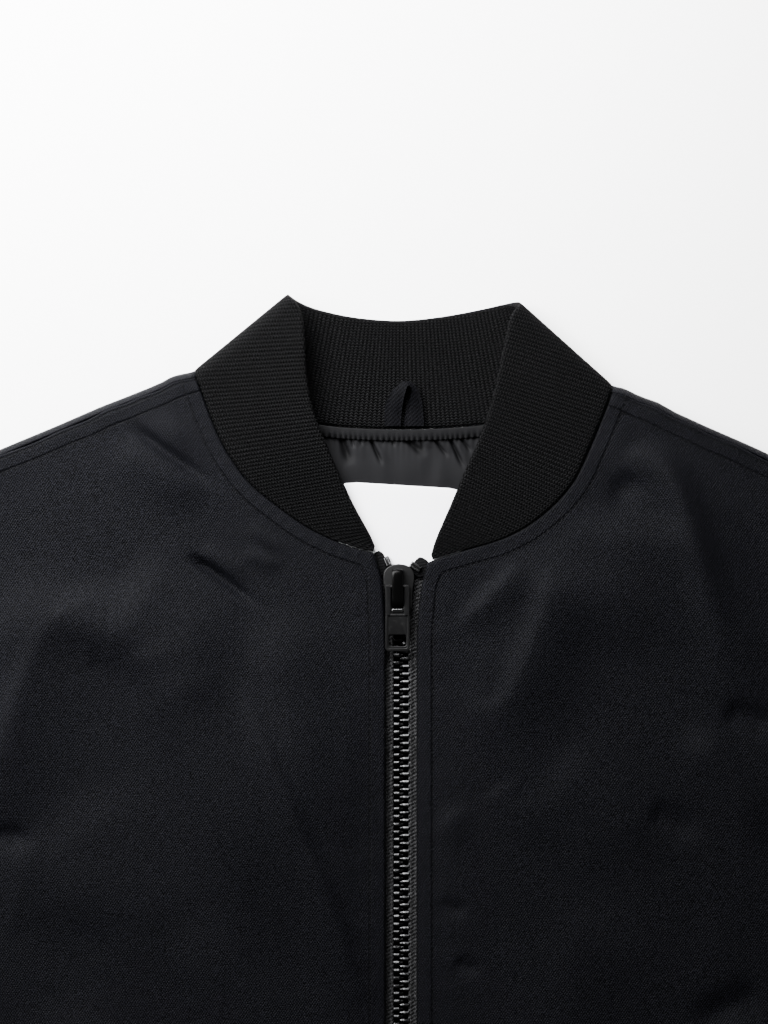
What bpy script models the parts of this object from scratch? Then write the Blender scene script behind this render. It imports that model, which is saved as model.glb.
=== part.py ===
"""Padded vest with a rib-knit stand collar, zipped up and laid flat on its back.

+X is to the right as seen from above, +Y runs from the hem to the collar and +Z
points up, out of the surface that it lies on. The origin is on that surface, under
the middle of the vest. Sizes below are in millimetres.
"""

from collections import Counter
from math import asin, cos, hypot, pi, radians, sin

import bmesh
import bpy
import numpy as np

MM = 0.001

# Layers. The skin is the outer face of the cloth: the back's lies on the surface and
# the fronts' lies on top, and at the sides and shoulders it turns round a half circle.
FOLD_R = 6.3
TOP = 2 * FOLD_R
PADDED = 6.0
SEAM_WALL = 3.4
GAP = 0.3
SEAM_GAP = 0.4
FLAT_SEAM_BAND = 9.0
PADDING_RAMP = 17.0
NECK_BLEND = 30.0
FOLDS_FADE = 30.0
FOLD_RUN_OUT = 0.3
FOLD_END_FADE = 0.5
# At the hem and the armholes the front sinks onto the back, away from the folds
# at the sides and shoulders and from the zip.
SINK = 1.75
SINK_FADE = 40.0
SINK_FROM_ZIP = (15.0, 30.0)

# Body outline, as half widths and heights up the garment.
HEM_Y = -357.0
HEM_HALF = 280.0
CHEST_HALF = 290.0
UNDERARM_Y = -30.0
SHOULDER_HALF = 247.0
SHOULDER_SEAM_TURN = radians(150)
SIDE_SEAM_TURN = radians(90)
SEAM_HALF_TURN = radians(2)

# Zip. The fronts' edges lie on the tapes, a little lower than the padding.
EDGE_DROP = 0.8
EDGE_DROP_WIDE = 14.0
EDGE_DROP_FROM_NECK = 18.0
TROUGH_HALF = 22.0
TROUGH_DEPTH = 1.7
TAPE_Z = (7.1, 8.1)
TAPE_X = (4.9, 14.5)
TAPE_TOP_Y = (221.5, 228.0)
TAPE_LOW_Y = -355.0
CHAIN_Z = (5.9, 9.3)
CHAIN_HALF = 4.6
CHAIN_Y = (-341.0, 214.0)
BOX_Z = (4.9, 10.4)
BOX_Y = (-354.0, -341.4)
SLIDER_X = -0.6
SLIDER_LOW_Z = (4.6, 5.6)
SLIDER_TOP_Z = (9.6, 11.4)
SLIDER_FLANGE_X = (5.5, 6.5)
SLIDER_FLANGE_Y = (206.3, 217.0)
SLIDER_FLANGE_Z = (8.4, 9.9)
SLIDER_POST_HALF = 2.0
SLIDER_POST_Y = (219.5, 226.0)
CROWN_X = -1.4
CROWN_HALF = 2.65
CROWN_FOOT_Z = 11.0
CROWN_UNDER_Z = 14.3
CROWN_TOP_Z = 15.8
CROWN_Y = (204.9, 225.3)
CROWN_LEG = 2.6
PIN_Y = 216.5
PIN_Z = 13.0
PIN_R = 1.0
TAB_HALF = 6.25
TAB_THICK = 1.8
TAB_LOW_Y = 185.5
TAB_SLOT_LOW_Y = 204.2
TAB_WINDOW_HALF = 4.1
TAB_WINDOW_Y = (188.0, 193.5)
STOP_SIZE = (6.4, 3.4, 2.3)
STOP_Z = 8.9

# Collar.
RIBS = 170
RIB_HIGH = 0.3
BAND_ROWS = (0.0, 0.24, 0.48, 0.72, 0.965, 1.0)
BAND_EDGE_TUCK = 0.9

# Pieces inside the neck.
LINING_WALL = 1.0
LINING_COLUMNS = 6
LINING_STEPS = 2
GATHER_HIGH = 0.7
BINDING_WALL = 1.5
BINDING_COLUMNS = 8
BINDING_STEPS = 3
BINDING_WIDE = 5.4
LABEL_Z = (7.7, 8.7)
LABEL_SIZE = (59.0, 36.0)
LABEL_TOP_MID = (1.0, 265.2)
LABEL_TURN = radians(-3.5)
LOOP_Z = 4.1
LOOP_WALL = 1.2
LOOP_TAPE = 8.4
LOOP_MID_X = 1.3
LOOP_LEG = 4.9
LOOP_BASE_Y = 293.8
LOOP_TIP_Y = 315.5
LOOP_TIP_LIFT = 1.6


def table(columns, *rows):
    """Rows of numbers, read by the names of their columns."""
    names = columns.split()
    return [dict(zip(names, row)) for row in rows]


# Seams and edges of each half, from the zip out to the fold at the shoulder.
NECK_SEAM = {
    -1: table(
        "x y",
        (-13.4, 233.4),
        (-20.3, 234.9),
        (-32.7, 239.3),
        (-46.6, 246.4),
        (-60.0, 256.0),
        (-72.5, 266.5),
        (-82.5, 280.0),
        (-89.5, 294.0),
        (-96.2, 312.0),
        (-98.9, 321.0),
    ),
    1: table(
        "x y",
        (15.2, 229.6),
        (21.5, 231.6),
        (33.5, 235.2),
        (47.5, 239.2),
        (61.4, 246.2),
        (74.5, 257.0),
        (83.8, 268.6),
        (90.8, 284.0),
        (98.6, 302.8),
        (101.0, 314.1),
    ),
}
BAND_EDGE = {
    -1: table(
        "x y",
        (-12.6, 235.9),
        (-15.5, 242.5),
        (-22.6, 255.4),
        (-30.0, 271.5),
        (-36.6, 287.0),
        (-42.5, 303.0),
        (-45.3, 320.0),
        (-46.1, 336.0),
        (-48.6, 350.0),
        (-54.6, 357.2),
    ),
    1: table(
        "x y",
        (14.4, 231.8),
        (17.0, 240.0),
        (23.7, 255.5),
        (31.3, 273.5),
        (38.0, 289.0),
        (43.6, 306.0),
        (47.4, 323.0),
        (50.6, 338.0),
        (53.2, 347.5),
        (57.2, 353.3),
    ),
}
# The back half lies under the folds, so its ends are hidden.
NECK_SEAM_BACK = table(
    "x y",
    (-76.0, 307.6),
    (-58.0, 300.0),
    (-39.8, 294.8),
    (-20.0, 293.0),
    (0.0, 292.5),
    (20.0, 293.0),
    (39.8, 294.6),
    (60.0, 298.0),
    (79.0, 303.8),
)
BAND_EDGE_BACK = table(
    "x y",
    (-46.6, 352.4),
    (-31.2, 347.9),
    (-15.8, 345.5),
    (0.0, 344.7),
    (15.0, 346.0),
    (30.2, 348.4),
    (47.0, 352.0),
)
# How the ribs run across the band: share of the neck seam and share of the edge.
RIB_RUN = table(
    "seam edge",
    (0.0, 0.0),
    (0.055, 0.022),
    (0.12, 0.078),
    (0.19, 0.165),
    (0.255, 0.262),
    (0.30, 0.318),
    (0.385, 0.385),
    (0.5, 0.5),
    (0.615, 0.615),
    (0.70, 0.682),
    (0.745, 0.738),
    (0.81, 0.835),
    (0.88, 0.922),
    (0.945, 0.978),
    (1.0, 1.0),
)
# How far the front of the band stands up along its free edge.
BAND_LIFT = table(
    "seam high",
    (0.0, 0.0),
    (0.1, 0.6),
    (0.2, 2.6),
    (0.29, 3.4),
    (0.36, 0.0),
    (0.64, 0.0),
    (0.71, 1.6),
    (0.8, 1.2),
    (0.9, 0.4),
    (1.0, 0.0),
)
SHOULDER_SLOPE = {-1: radians(22.5), 1: radians(24.4)}
ZIP_EDGE = {
    -1: table("x y", (-7.4, HEM_Y), (-7.4, 196.0), (-8.7, 219.8), (-11.6, 229.0)),
    1: table("x y", (7.4, HEM_Y), (7.4, 196.0), (9.6, 218.5), (12.6, 226.2)),
}
# The armhole, as shares of the way up from the underarm to the shoulder.
ARMHOLE = table(
    "up half",
    (0.0, 283.7),
    (0.02, 272.0),
    (0.065, 258.0),
    (0.165, 243.0),
    (0.324, 232.0),
    (0.521, 227.0),
    (0.711, 229.0),
    (0.873, 236.0),
    (1.0, 244.5),
)
# Largest soft folds of the fronts: a line from one end to the other, how far it
# bows to its left, its half width and its height.
FOLDS = {
    -1: table(
        "x1 y1 x2 y2 bow wide high",
        (-196, 140, -119, 182, 44, 16, 4.5),
        (-74, 144, -20, 18, 3, 15, 3.5),
        (-118, 302, -82, 276, -2, 9, 2.4),
        (-132, 286, -98, 262, -4, 9, 2.2),
        (-236, 96, -262, -120, 6, 20, 4.0),
        (-140, -20, -168, -300, -8, 24, 4.5),
        (-62, -70, -88, -322, 6, 20, 3.5),
        (-222, -160, -214, -338, 5, 18, 3.5),
    ),
    1: table(
        "x1 y1 x2 y2 bow wide high",
        (130, 262, 166, 172, 4, 15, 3.5),
        (74, 250, 42, 160, 6, 14, 3.0),
        (106, 276, 136, 250, 12, 9, 2.2),
        (238, 110, 260, -130, -6, 20, 4.0),
        (150, -10, 158, -290, 10, 24, 4.5),
        (60, 20, 96, -210, -8, 20, 3.5),
        (226, -150, 210, -340, -5, 18, 3.5),
    ),
}
ZIP_STOPS = {
    "zip_stop_left": (-8.1, 229.4, radians(-42)),
    "zip_stop_right": (9.4, 228.2, radians(48)),
}

CLOTH = {
    "shell": ((0.016, 0.017, 0.022, 1.0), 0.75),
    "rib_knit": ((0.011, 0.011, 0.013, 1.0), 0.9),
    "lining": ((0.03, 0.03, 0.033, 1.0), 0.45),
    "binding": ((0.016, 0.016, 0.018, 1.0), 0.7),
    "label": ((0.85, 0.85, 0.88, 1.0), 0.6),
    "tape": ((0.009, 0.009, 0.011, 1.0), 0.85),
}
METAL = {
    "zip_teeth": ((0.12, 0.12, 0.12, 1.0), 0.35),
    "zip_metal": ((0.02, 0.02, 0.021, 1.0), 0.35),
}


def points_of(rows, across="x", up="y"):
    return [np.array((row[across], row[up]), float) for row in rows]


def smoothstep(value):
    value = min(max(value, 0.0), 1.0)
    return value * value * (3 - 2 * value)


class Path:
    """A smooth path through a few points, read by its share of the length."""

    STEPS = 16

    def __init__(self, points, smooth=True):
        points = np.array(points, float)
        if smooth:
            points = self.rounded(points)
        self.points = points
        steps = np.linalg.norm(np.diff(points, axis=0), axis=1)
        self.run = np.concatenate(([0.0], np.cumsum(steps)))
        self.length = self.run[-1]

    def rounded(self, points):
        """A Catmull-Rom curve through the points."""
        ends = np.vstack((2 * points[0] - points[1], points, 2 * points[-1] - points[-2]))
        made = []
        for before, here, there, after in zip(ends, ends[1:], ends[2:], ends[3:]):
            for step in range(self.STEPS):
                t = step / self.STEPS
                made.append(
                    here
                    + 0.5 * t * (there - before)
                    + 0.5 * t * t * (2 * before - 5 * here + 4 * there - after)
                    + 0.5 * t**3 * (3 * here - before - 3 * there + after)
                )
        return np.array(made + [points[-1]])

    def at(self, share):
        place = share * self.length
        return np.array([np.interp(place, self.run, axis) for axis in self.points.T])

    def heading(self, share):
        step = 0.002
        ahead = self.at(min(share + step, 1.0)) - self.at(max(share - step, 0.0))
        return ahead / np.linalg.norm(ahead)

    def distance(self, point):
        """How far a point is from the path."""
        starts = self.points[:-1]
        runs = np.diff(self.points, axis=0)
        squares = np.maximum((runs**2).sum(axis=1), 1e-12)
        share = np.clip(((point - starts) * runs).sum(axis=1) / squares, 0, 1)
        return np.linalg.norm(starts + runs * share[:, None] - point, axis=1).min()


class Fold:
    """A straight fold of the collar band, given by its outline seen from above.

    Flat cloth is laid out in the plane of the back. Past the fold it turns round a
    half circle and comes back on top.
    """

    def __init__(self, low, high, side):
        self.along = (high - low) / np.linalg.norm(high - low)
        self.out = side * np.array((self.along[1], -self.along[0]))
        self.foot = low - FOLD_R * self.out

    def parts(self, point):
        return (point - self.foot) @ self.along, (point - self.foot) @ self.out

    def unfold(self, point):
        """Where a point of the top layer, seen from above, lies on the flat cloth."""
        along, out = self.parts(point)
        if out <= 0:
            past = pi * FOLD_R - out
        else:
            past = FOLD_R * (pi - asin(min(out / FOLD_R, 1.0)))
        return self.foot + along * self.along + past * self.out

    def turn(self, point):
        """The angle that the cloth has turned through here: 0 below, pi on top."""
        return min(max(self.parts(point)[1] / FOLD_R, 0.0), pi)

    def place(self, point):
        """The skin's place and outward direction for a point of the flat cloth."""
        along, past = self.parts(point)
        turn = self.turn(point)
        out = FOLD_R * sin(turn) - max(past - pi * FOLD_R, 0.0)
        if past < 0:
            out = past
        flat = self.foot + along * self.along + out * self.out
        place = np.array((flat[0], flat[1], FOLD_R * (1 - cos(turn))))
        outward = np.array((*(self.out * sin(turn)), -cos(turn)))
        return place, outward


def neck_fold(side):
    low = points_of(NECK_SEAM[side])[-1]
    high = points_of(BAND_EDGE[side])[-1]
    return Fold(low, high, side)


NECK_FOLDS = {side: neck_fold(side) for side in (-1, 1)}


def flat_band_path(front, back):
    """One path along the whole band, laid out flat, from the left end to the right."""
    left = [NECK_FOLDS[-1].unfold(point) for point in points_of(front[-1])]
    right = [NECK_FOLDS[1].unfold(point) for point in points_of(front[1])]
    return Path(left + points_of(back) + right[::-1])


SEAM = flat_band_path(NECK_SEAM, NECK_SEAM_BACK)
EDGE = flat_band_path(BAND_EDGE, BAND_EDGE_BACK)


def folded(point):
    """The skin's place and outward direction for any point of the flat band."""
    side = -1 if NECK_FOLDS[-1].parts(point)[1] > NECK_FOLDS[1].parts(point)[1] else 1
    return NECK_FOLDS[side].place(point)


def neck_skin(share):
    """The skin of a panel at the neck seam, one seam gap clear of the collar."""
    heading = SEAM.heading(share)
    away = np.array((heading[1], -heading[0]))
    return folded(SEAM.at(share) + SEAM_GAP * away)


def share_at_turn(turn, side):
    """The share of the neck seam, from its nearer end, where the fold has this turn."""
    shares = np.linspace(0, 0.5, 800) if side < 0 else np.linspace(1, 0.5, 800)
    turns = np.array([NECK_FOLDS[side].turn(SEAM.at(share)) for share in shares])
    on_fold = slice(np.argmax(turns < pi) - 1, np.argmax(turns <= 0) + 1)
    return float(np.interp(-turn, -turns[on_fold], shares[on_fold]))


class Wall:
    """Cloth as a closed wall: a skin, and an inner face behind it."""

    def __init__(self):
        self.skin = []
        self.inner = []
        self.faces = []

    def point(self, place, outward, thick, raised=0.0):
        place = np.array(place, float)
        outward = np.array(outward, float)
        self.skin.append(place + raised * outward)
        self.inner.append(place - thick * outward)
        return len(self.skin) - 1

    def grid(self, rows):
        """Faces between rows of point numbers."""
        for low, high in zip(rows, rows[1:]):
            for corner in range(len(low) - 1):
                face = (low[corner], low[corner + 1], high[corner + 1], high[corner])
                self.faces.append(face)

    def solid(self, name, material):
        count = len(self.skin)
        uses = Counter()
        for face in self.faces:
            uses.update(frozenset(edge) for edge in zip(face, face[1:] + face[:1]))
        rims = [tuple(edge) for edge, used in uses.items() if used == 1]
        inside = [tuple(count + corner for corner in face[::-1]) for face in self.faces]
        sides = [(end, start, count + start, count + end) for start, end in rims]
        return solid(name, self.skin + self.inner, self.faces + inside + sides, material)


def solid(name, points, faces, material, smooth=True):
    """A mesh object from points in millimetres, its faces turned outwards."""
    mesh = bpy.data.meshes.new(name)
    mesh.from_pydata([tuple(float(value) * MM for value in point) for point in points], [], faces)
    shape = bmesh.new()
    shape.from_mesh(mesh)
    bmesh.ops.recalc_face_normals(shape, faces=shape.faces)
    shape.to_mesh(mesh)
    shape.free()
    if smooth:
        mesh.shade_smooth()
        mesh.set_sharp_from_angle(angle=radians(50))
    mesh.materials.append(material)
    made = bpy.data.objects.new(name, mesh)
    bpy.context.scene.collection.objects.link(made)
    return made


def principled(name, colour, roughness, metallic):
    material = bpy.data.materials.new(name)
    material.use_nodes = True
    shader = material.node_tree.nodes["Principled BSDF"]
    shader.inputs["Base Color"].default_value = colour
    shader.inputs["Roughness"].default_value = roughness
    shader.inputs["Metallic"].default_value = metallic
    return material


def prism(name, outline, low, high, material):
    """An outline in X and Y, raised from one height to another."""
    count = len(outline)
    points = [(x, y, z) for z in (low, high) for x, y in outline]
    sides = [(i, (i + 1) % count, count + (i + 1) % count, count + i) for i in range(count)]
    caps = [tuple(range(count))[::-1], tuple(range(count, 2 * count))]
    return solid(name, points, sides + caps, material, smooth=False)


def joined(target, other, operation):
    """Joins a helper to a solid, or cuts it away, and leaves the helper hidden."""
    other.hide_render = True
    other.display_type = "WIRE"
    change = target.modifiers.new(other.name, "BOOLEAN")
    change.operation = operation
    change.object = other


def rectangle(low_x, high_x, low_y, high_y):
    return [(low_x, low_y), (high_x, low_y), (high_x, high_y), (low_x, high_y)]


# Body panels.


def side_line_x(y):
    """Where the flat of a panel ends and its side starts to turn."""
    share = (y - HEM_Y) / (UNDERARM_Y - HEM_Y)
    return HEM_HALF + share * (CHEST_HALF - HEM_HALF) - FOLD_R


def outer_x(side, y):
    """Half width of a panel's flat part: the side, then the armhole."""
    if y <= UNDERARM_Y:
        return side_line_x(y)
    points = ARMHOLES[side].points
    return abs(float(np.interp(y, points[:, 1], points[:, 0])))


def armhole_path(side):
    tip = SHOULDERS[side].tip
    points = []
    for row in ARMHOLE[:-1]:
        points.append((side * row["half"], UNDERARM_Y + row["up"] * (tip[1] - UNDERARM_Y)))
    return Path(points + [tuple(tip)])


class Shoulder:
    """The fold at one shoulder, from the neck out to the armhole."""

    def __init__(self, side):
        slope = SHOULDER_SLOPE[side]
        neck = points_of(NECK_SEAM[side])[-1]
        self.side = side
        self.along = np.array((side * cos(slope), -sin(slope)))
        self.out = np.array((side * sin(slope), cos(slope)))
        self.start = neck - FOLD_R * self.out
        self.length = (SHOULDER_HALF - abs(neck[0])) / cos(slope)
        self.tip = self.start + self.length * self.along

    def skin(self, share, turn):
        """Share 0 is at the neck, where the fold runs into the collar's."""
        out = FOLD_R * sin(turn) * self.out
        from_neck = share * self.length * self.along
        flat = self.start + from_neck + out
        outward = np.array((*(self.out * sin(turn)), -cos(turn)))
        height = FOLD_R * (1 - cos(turn))
        place = np.array((flat[0], flat[1], height))
        at_neck, outward_at_neck = neck_skin(share_at_turn(turn, self.side))
        shift = at_neck - np.array((*(self.start + out), height))
        blend = 1 - smoothstep(share * self.length / NECK_BLEND)
        outward = outward + blend * (outward_at_neck - outward)
        return place + blend * shift, outward / np.linalg.norm(outward)


SHOULDERS = {side: Shoulder(side) for side in (-1, 1)}
ARMHOLES = {side: armhole_path(side) for side in (-1, 1)}


def wall_at(distance):
    """Wall thickness by distance from an edge: thin at seams, padded inside."""
    ramp = smoothstep((distance - FLAT_SEAM_BAND) / PADDING_RAMP)
    return SEAM_WALL + ramp * (PADDED - SEAM_WALL)


def hidden_edges(side):
    """The lines of one side where a panel turns over: its side and its shoulder."""
    low = (side * side_line_x(HEM_Y), HEM_Y)
    high = (side * side_line_x(UNDERARM_Y), UNDERARM_Y)
    shoulder = SHOULDERS[side]
    return [
        Path([low, high], smooth=False),
        Path([shoulder.start, shoulder.tip], smooth=False),
    ]


def free_edges(side):
    """The lines of one side where a panel ends: its hem and its armhole."""
    hem = Path([(side * HEM_HALF, HEM_Y), (0.0, HEM_Y)], smooth=False)
    return [hem, ARMHOLES[side]]


def nearest(lines, point):
    return min(line.distance(point) for line in lines)


def fold_height(side, point):
    """Height of the soft folds at a point of a front."""
    height = 0.0
    for row in FOLDS[side]:
        start = np.array((row["x1"], row["y1"]), float)
        run = np.array((row["x2"], row["y2"]), float) - start
        length = hypot(*run)
        share = min(max((point - start) @ run / length**2, -FOLD_RUN_OUT), 1 + FOLD_RUN_OUT)
        left = ((point - start) @ np.array((-run[1], run[0]))) / length
        aside = left - row["bow"] * 4 * share * (1 - share)
        fade = smoothstep((share + FOLD_RUN_OUT) / FOLD_END_FADE)
        fade *= smoothstep((1 + FOLD_RUN_OUT - share) / FOLD_END_FADE)
        height += row["high"] * fade * np.exp(-((aside / row["wide"]) ** 2))
    return height


FRONT_COLUMNS = 15
FRONT_EDGE_STEPS = (0.0, 0.034, 0.07)
SIDE_TURNS_FRONT = (radians(150), radians(120), SIDE_SEAM_TURN + SEAM_HALF_TURN)
SIDE_TURNS_BACK = (radians(30), radians(60), SIDE_SEAM_TURN - SEAM_HALF_TURN)
SHOULDER_TURNS_FRONT = (radians(165), SHOULDER_SEAM_TURN + SEAM_HALF_TURN)
SHOULDER_TURNS_BACK = tuple(radians(turn) for turn in (30, 60, 90, 120)) + (
    SHOULDER_SEAM_TURN - SEAM_HALF_TURN,
)
# Rows of a front up to the top of the zip: height at the zip and at the side.
ZIP_ROWS = table(
    "zip side",
    (HEM_Y, HEM_Y),
    (-338, -338),
    (-300, -305),
    (-240, -250),
    (-180, -195),
    (-120, -140),
    (-65, -85),
    (-15, UNDERARM_Y),
    (30, 5),
    (68, 34),
    (98, 58),
    (124, 78),
    (146, 95),
    (166, 109),
    (183, 120),
    (198, 129),
    (210, 136),
    (220, 142),
    (228, 146),
)
NECK_ROWS = 15
NECK_LINE_STEPS = 60
CORNER_SIDE_Y = 150.0


def front_rows(side):
    """Each row of a front: its outer end, and its end at the zip or the neck."""
    edge_x = [row["x"] for row in ZIP_EDGE[side]]
    edge_y = [row["y"] for row in ZIP_EDGE[side]]
    end = 0.0 if side < 0 else 1.0
    top_share = share_at_turn(pi, side)
    rows = []
    for row in ZIP_ROWS:
        inner = np.array((np.interp(row["zip"], edge_y, edge_x), row["zip"]), float)
        rows.append((row["side"], inner))
    for step in range(NECK_ROWS + 1):
        share = end + step / NECK_ROWS * (top_share - end)
        up = step / NECK_ROWS
        tip_y = SHOULDERS[side].tip[1]
        rows.append((CORNER_SIDE_Y + up * (tip_y - CORNER_SIDE_Y), neck_skin(share)[0][:2]))
    return rows


def front_columns():
    """Shares across a front, from the zip edge to the side, closer at the edge."""
    inner = len(FRONT_EDGE_STEPS)
    rest = np.linspace(FRONT_EDGE_STEPS[-1], 1.0, FRONT_COLUMNS - inner + 2)
    return list(FRONT_EDGE_STEPS) + list(rest[1:])


class Front:
    """The lines of one front, and the heights of its skin."""

    def __init__(self, side):
        self.side = side
        end = 0.0 if side < 0 else 1.0
        shares = np.linspace(end, share_at_turn(pi, side), NECK_LINE_STEPS)
        self.neck = Path([neck_skin(share)[0][:2] for share in shares], smooth=False)
        self.zip = Path(points_of(ZIP_EDGE[side]), smooth=False)
        self.hidden = hidden_edges(side)
        self.free = free_edges(side)

    def sink(self, flat):
        """How far the front sinks where its padding and the back's are thin."""
        low, wide = SINK_FROM_ZIP
        fade = smoothstep((self.zip.distance(flat) - low) / wide)
        for line in self.hidden:
            fade *= smoothstep(line.distance(flat) / SINK_FADE)
        return fade * SINK * (PADDED - wall_at(nearest(self.free, flat)))

    def height(self, flat, near):
        rise = fold_height(self.side, flat) * smoothstep(near / FOLDS_FADE)
        drop = EDGE_DROP * (1 - smoothstep(self.zip.distance(flat) / EDGE_DROP_WIDE))
        drop *= smoothstep(self.neck.distance(flat) / EDGE_DROP_FROM_NECK)
        return TOP + rise - drop - self.sink(flat)

    def near(self, flat):
        return nearest(self.hidden + self.free + [self.neck, self.zip], flat)


def front_panel(side, name, material):
    """A front: flat on top, its shoulder and side turned down to their seams."""
    shoulder = SHOULDERS[side]
    front = Front(side)
    columns = front_columns()
    ends = front_rows(side)
    wall = Wall()
    rows = []
    for outer_y, inner in ends[:-1]:
        outer = np.array((side * outer_x(side, outer_y), outer_y))
        row = []
        for share in columns:
            flat = inner + share * (outer - inner)
            near = front.near(flat)
            place = (flat[0], flat[1], front.height(flat, near))
            row.append(wall.point(place, (0, 0, 1), wall_at(near)))
        rows.append(row)
    for turn in (pi,) + SHOULDER_TURNS_FRONT:
        skins = [shoulder.skin(share, turn) for share in columns]
        rows.append([wall.point(place, outward, SEAM_WALL) for place, outward in skins])
    wall.grid(rows)
    side_points = []
    for row, (outer_y, _) in zip(rows, ends):
        if outer_y <= UNDERARM_Y:
            side_points.append((row[-1], outer_y))
    add_side(wall, side, side_points, SIDE_TURNS_FRONT)
    return wall.solid(name, material)


def add_side(wall, side, flat_points, turns):
    """Turns a panel's side edge round towards the side seam."""
    columns = []
    for number, y in flat_points:
        column = [number]
        for turn in turns:
            x = side * (side_line_x(y) + FOLD_R * sin(turn))
            outward = (side * sin(turn), 0.0, -cos(turn))
            place = (x, y, FOLD_R * (1 - cos(turn)))
            column.append(wall.point(place, outward, SEAM_WALL))
        columns.append(column)
    wall.grid(columns)


UNDERARM_SHARE = 0.536
BACK_ROWS = (0, 0.03, 0.107, 0.214, 0.321, 0.429, UNDERARM_SHARE, 0.64, 0.73, 0.81, 0.865, 0.9025)
BACK_ROWS_NECK = (0.913, 0.938, 0.9645, 0.981)
BACK_NECK_COLUMNS = 20
BACK_SHOULDER_STEPS = (0.0, 0.07, 0.2, 0.42, 0.7, 1.0)


class Back:
    """The back's inner face, as rows of points: what lies inside is made from them."""

    def __init__(self):
        self.top = self.top_edge()
        middle = NECK_SEAM_BACK[len(NECK_SEAM_BACK) // 2]
        binding_row = 1 - BINDING_WIDE / (middle["y"] - HEM_Y)
        self.shares = BACK_ROWS + BACK_ROWS_NECK + (binding_row, 1.0)
        self.edges = []
        for side in (-1, 1):
            self.edges += hidden_edges(side) + free_edges(side)
        ends = (share_at_turn(0.0, -1), share_at_turn(0.0, 1))
        shares = np.linspace(*ends, NECK_LINE_STEPS)
        self.neck = Path([neck_skin(share)[0][:2] for share in shares], smooth=False)
        self.rows = [[self.flat(up, corner) for corner in self.top] for up in self.shares]

    def top_edge(self):
        """Shoulder, neck, shoulder: the far end of each column, from left to right."""
        steps = BACK_SHOULDER_STEPS[1:]
        left = [SHOULDERS[-1].skin(share, 0.0)[0] for share in steps[::-1]]
        right = [SHOULDERS[1].skin(share, 0.0)[0] for share in steps]
        ends = (share_at_turn(0.0, -1), share_at_turn(0.0, 1))
        middle = [neck_skin(share)[0] for share in np.linspace(*ends, BACK_NECK_COLUMNS + 1)]
        return [point[:2] for point in left + middle + right]

    def side_end(self, side, up):
        """A row's end at the side seam or the armhole."""
        if up <= UNDERARM_SHARE:
            y = HEM_Y + up / UNDERARM_SHARE * (UNDERARM_Y - HEM_Y)
        else:
            above = (up - UNDERARM_SHARE) / (1 - UNDERARM_SHARE)
            y = UNDERARM_Y + above * (SHOULDERS[side].tip[1] - UNDERARM_Y)
        return np.array((side * outer_x(side, y), y))

    def flat(self, up, top):
        """A point of the flat part, up a column that ends at the top edge."""
        ends = (self.top[0], self.top[-1])
        hem_half = side_line_x(HEM_Y)
        near_end = ends[1] if top[0] > 0 else ends[0]
        hem = np.array((top[0] * hem_half / abs(near_end[0]), HEM_Y))
        across = (hem[0] + hem_half) / (2 * hem_half)
        flat = hem + up * (top - hem)
        for side, end, weight in ((-1, ends[0], 1 - across), (1, ends[1], across)):
            corner = np.array((side * hem_half, HEM_Y))
            straight = corner + up * (end - corner)
            flat = flat + weight * (self.side_end(side, up) - straight)
        return flat

    def thick(self, up, flat):
        near = nearest(self.edges + [self.neck], flat)
        under_zip = abs(flat[0]) < TROUGH_HALF and up <= BACK_ROWS[-1]
        return min(wall_at(near), PADDED - TROUGH_DEPTH) if under_zip else wall_at(near)

    def panel(self, name, material):
        wall = Wall()
        rows = []
        for up, row in zip(self.shares, self.rows):
            made = []
            for flat in row:
                place = (flat[0], flat[1], 0.0)
                made.append(wall.point(place, (0, 0, -1), self.thick(up, flat)))
            rows.append(made)
        wall.grid(rows)
        count = len(self.top)
        for side, last in ((-1, 0), (1, count - 1)):
            steps = len(BACK_SHOULDER_STEPS)
            ordered = range(steps - 1, -1, -1) if side < 0 else range(count - steps, count)
            turned = [[rows[-1][i] for i in ordered]]
            for turn in SHOULDER_TURNS_BACK:
                skins = [SHOULDERS[side].skin(share, turn) for share in BACK_SHOULDER_STEPS]
                turned.append([wall.point(place, out, SEAM_WALL) for place, out in skins])
            wall.grid(turned)
            low = [
                (rows[i][last], self.side_end(side, up)[1])
                for i, up in enumerate(self.shares)
                if up <= UNDERARM_SHARE
            ]
            add_side(wall, side, low, SIDE_TURNS_BACK)
        return wall.solid(name, material)

    def inner_point(self, row, column):
        """A point of the inner face, between two columns where column isn't whole."""
        near = int(min(column, len(self.top) - 2))
        share = column - near
        ends = []
        for number in (near, near + 1):
            flat = self.rows[row][number]
            thick = self.thick(self.shares[row], flat)
            ends.append(np.array((flat[0], flat[1], thick)))
        return ends[0] + share * (ends[1] - ends[0])

    def neck_columns(self, each_way, steps):
        """Column numbers round the middle of the neck, with finer steps between."""
        middle = len(self.top) // 2
        count = 2 * each_way * steps
        return [middle - each_way + number / steps for number in range(count + 1)]


# Pieces inside the neck, each made from the back's inner points, moved up.


def back_lining(back, name, material):
    rows = range(len(BACK_ROWS), len(back.shares))
    columns = back.neck_columns(LINING_COLUMNS, LINING_STEPS)
    wall = Wall()
    made = []
    for row in rows:
        line = []
        depth = back.rows[-1][len(back.top) // 2][1] - back.rows[row][len(back.top) // 2][1]
        fade = smoothstep((depth - 5.5) / 4.0) * (1 - smoothstep((depth - 8.0) / 26.0))
        for number, column in enumerate(columns):
            place = back.inner_point(row, column) + np.array((0, 0, GAP + LINING_WALL))
            gather = GATHER_HIGH * fade * (0.5 + 0.5 * cos(number * pi + 0.7 * sin(number)))
            line.append(wall.point(place, (0, 0, 1), LINING_WALL, gather))
        made.append(line)
    wall.grid(made)
    return wall.solid(name, material)


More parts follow.
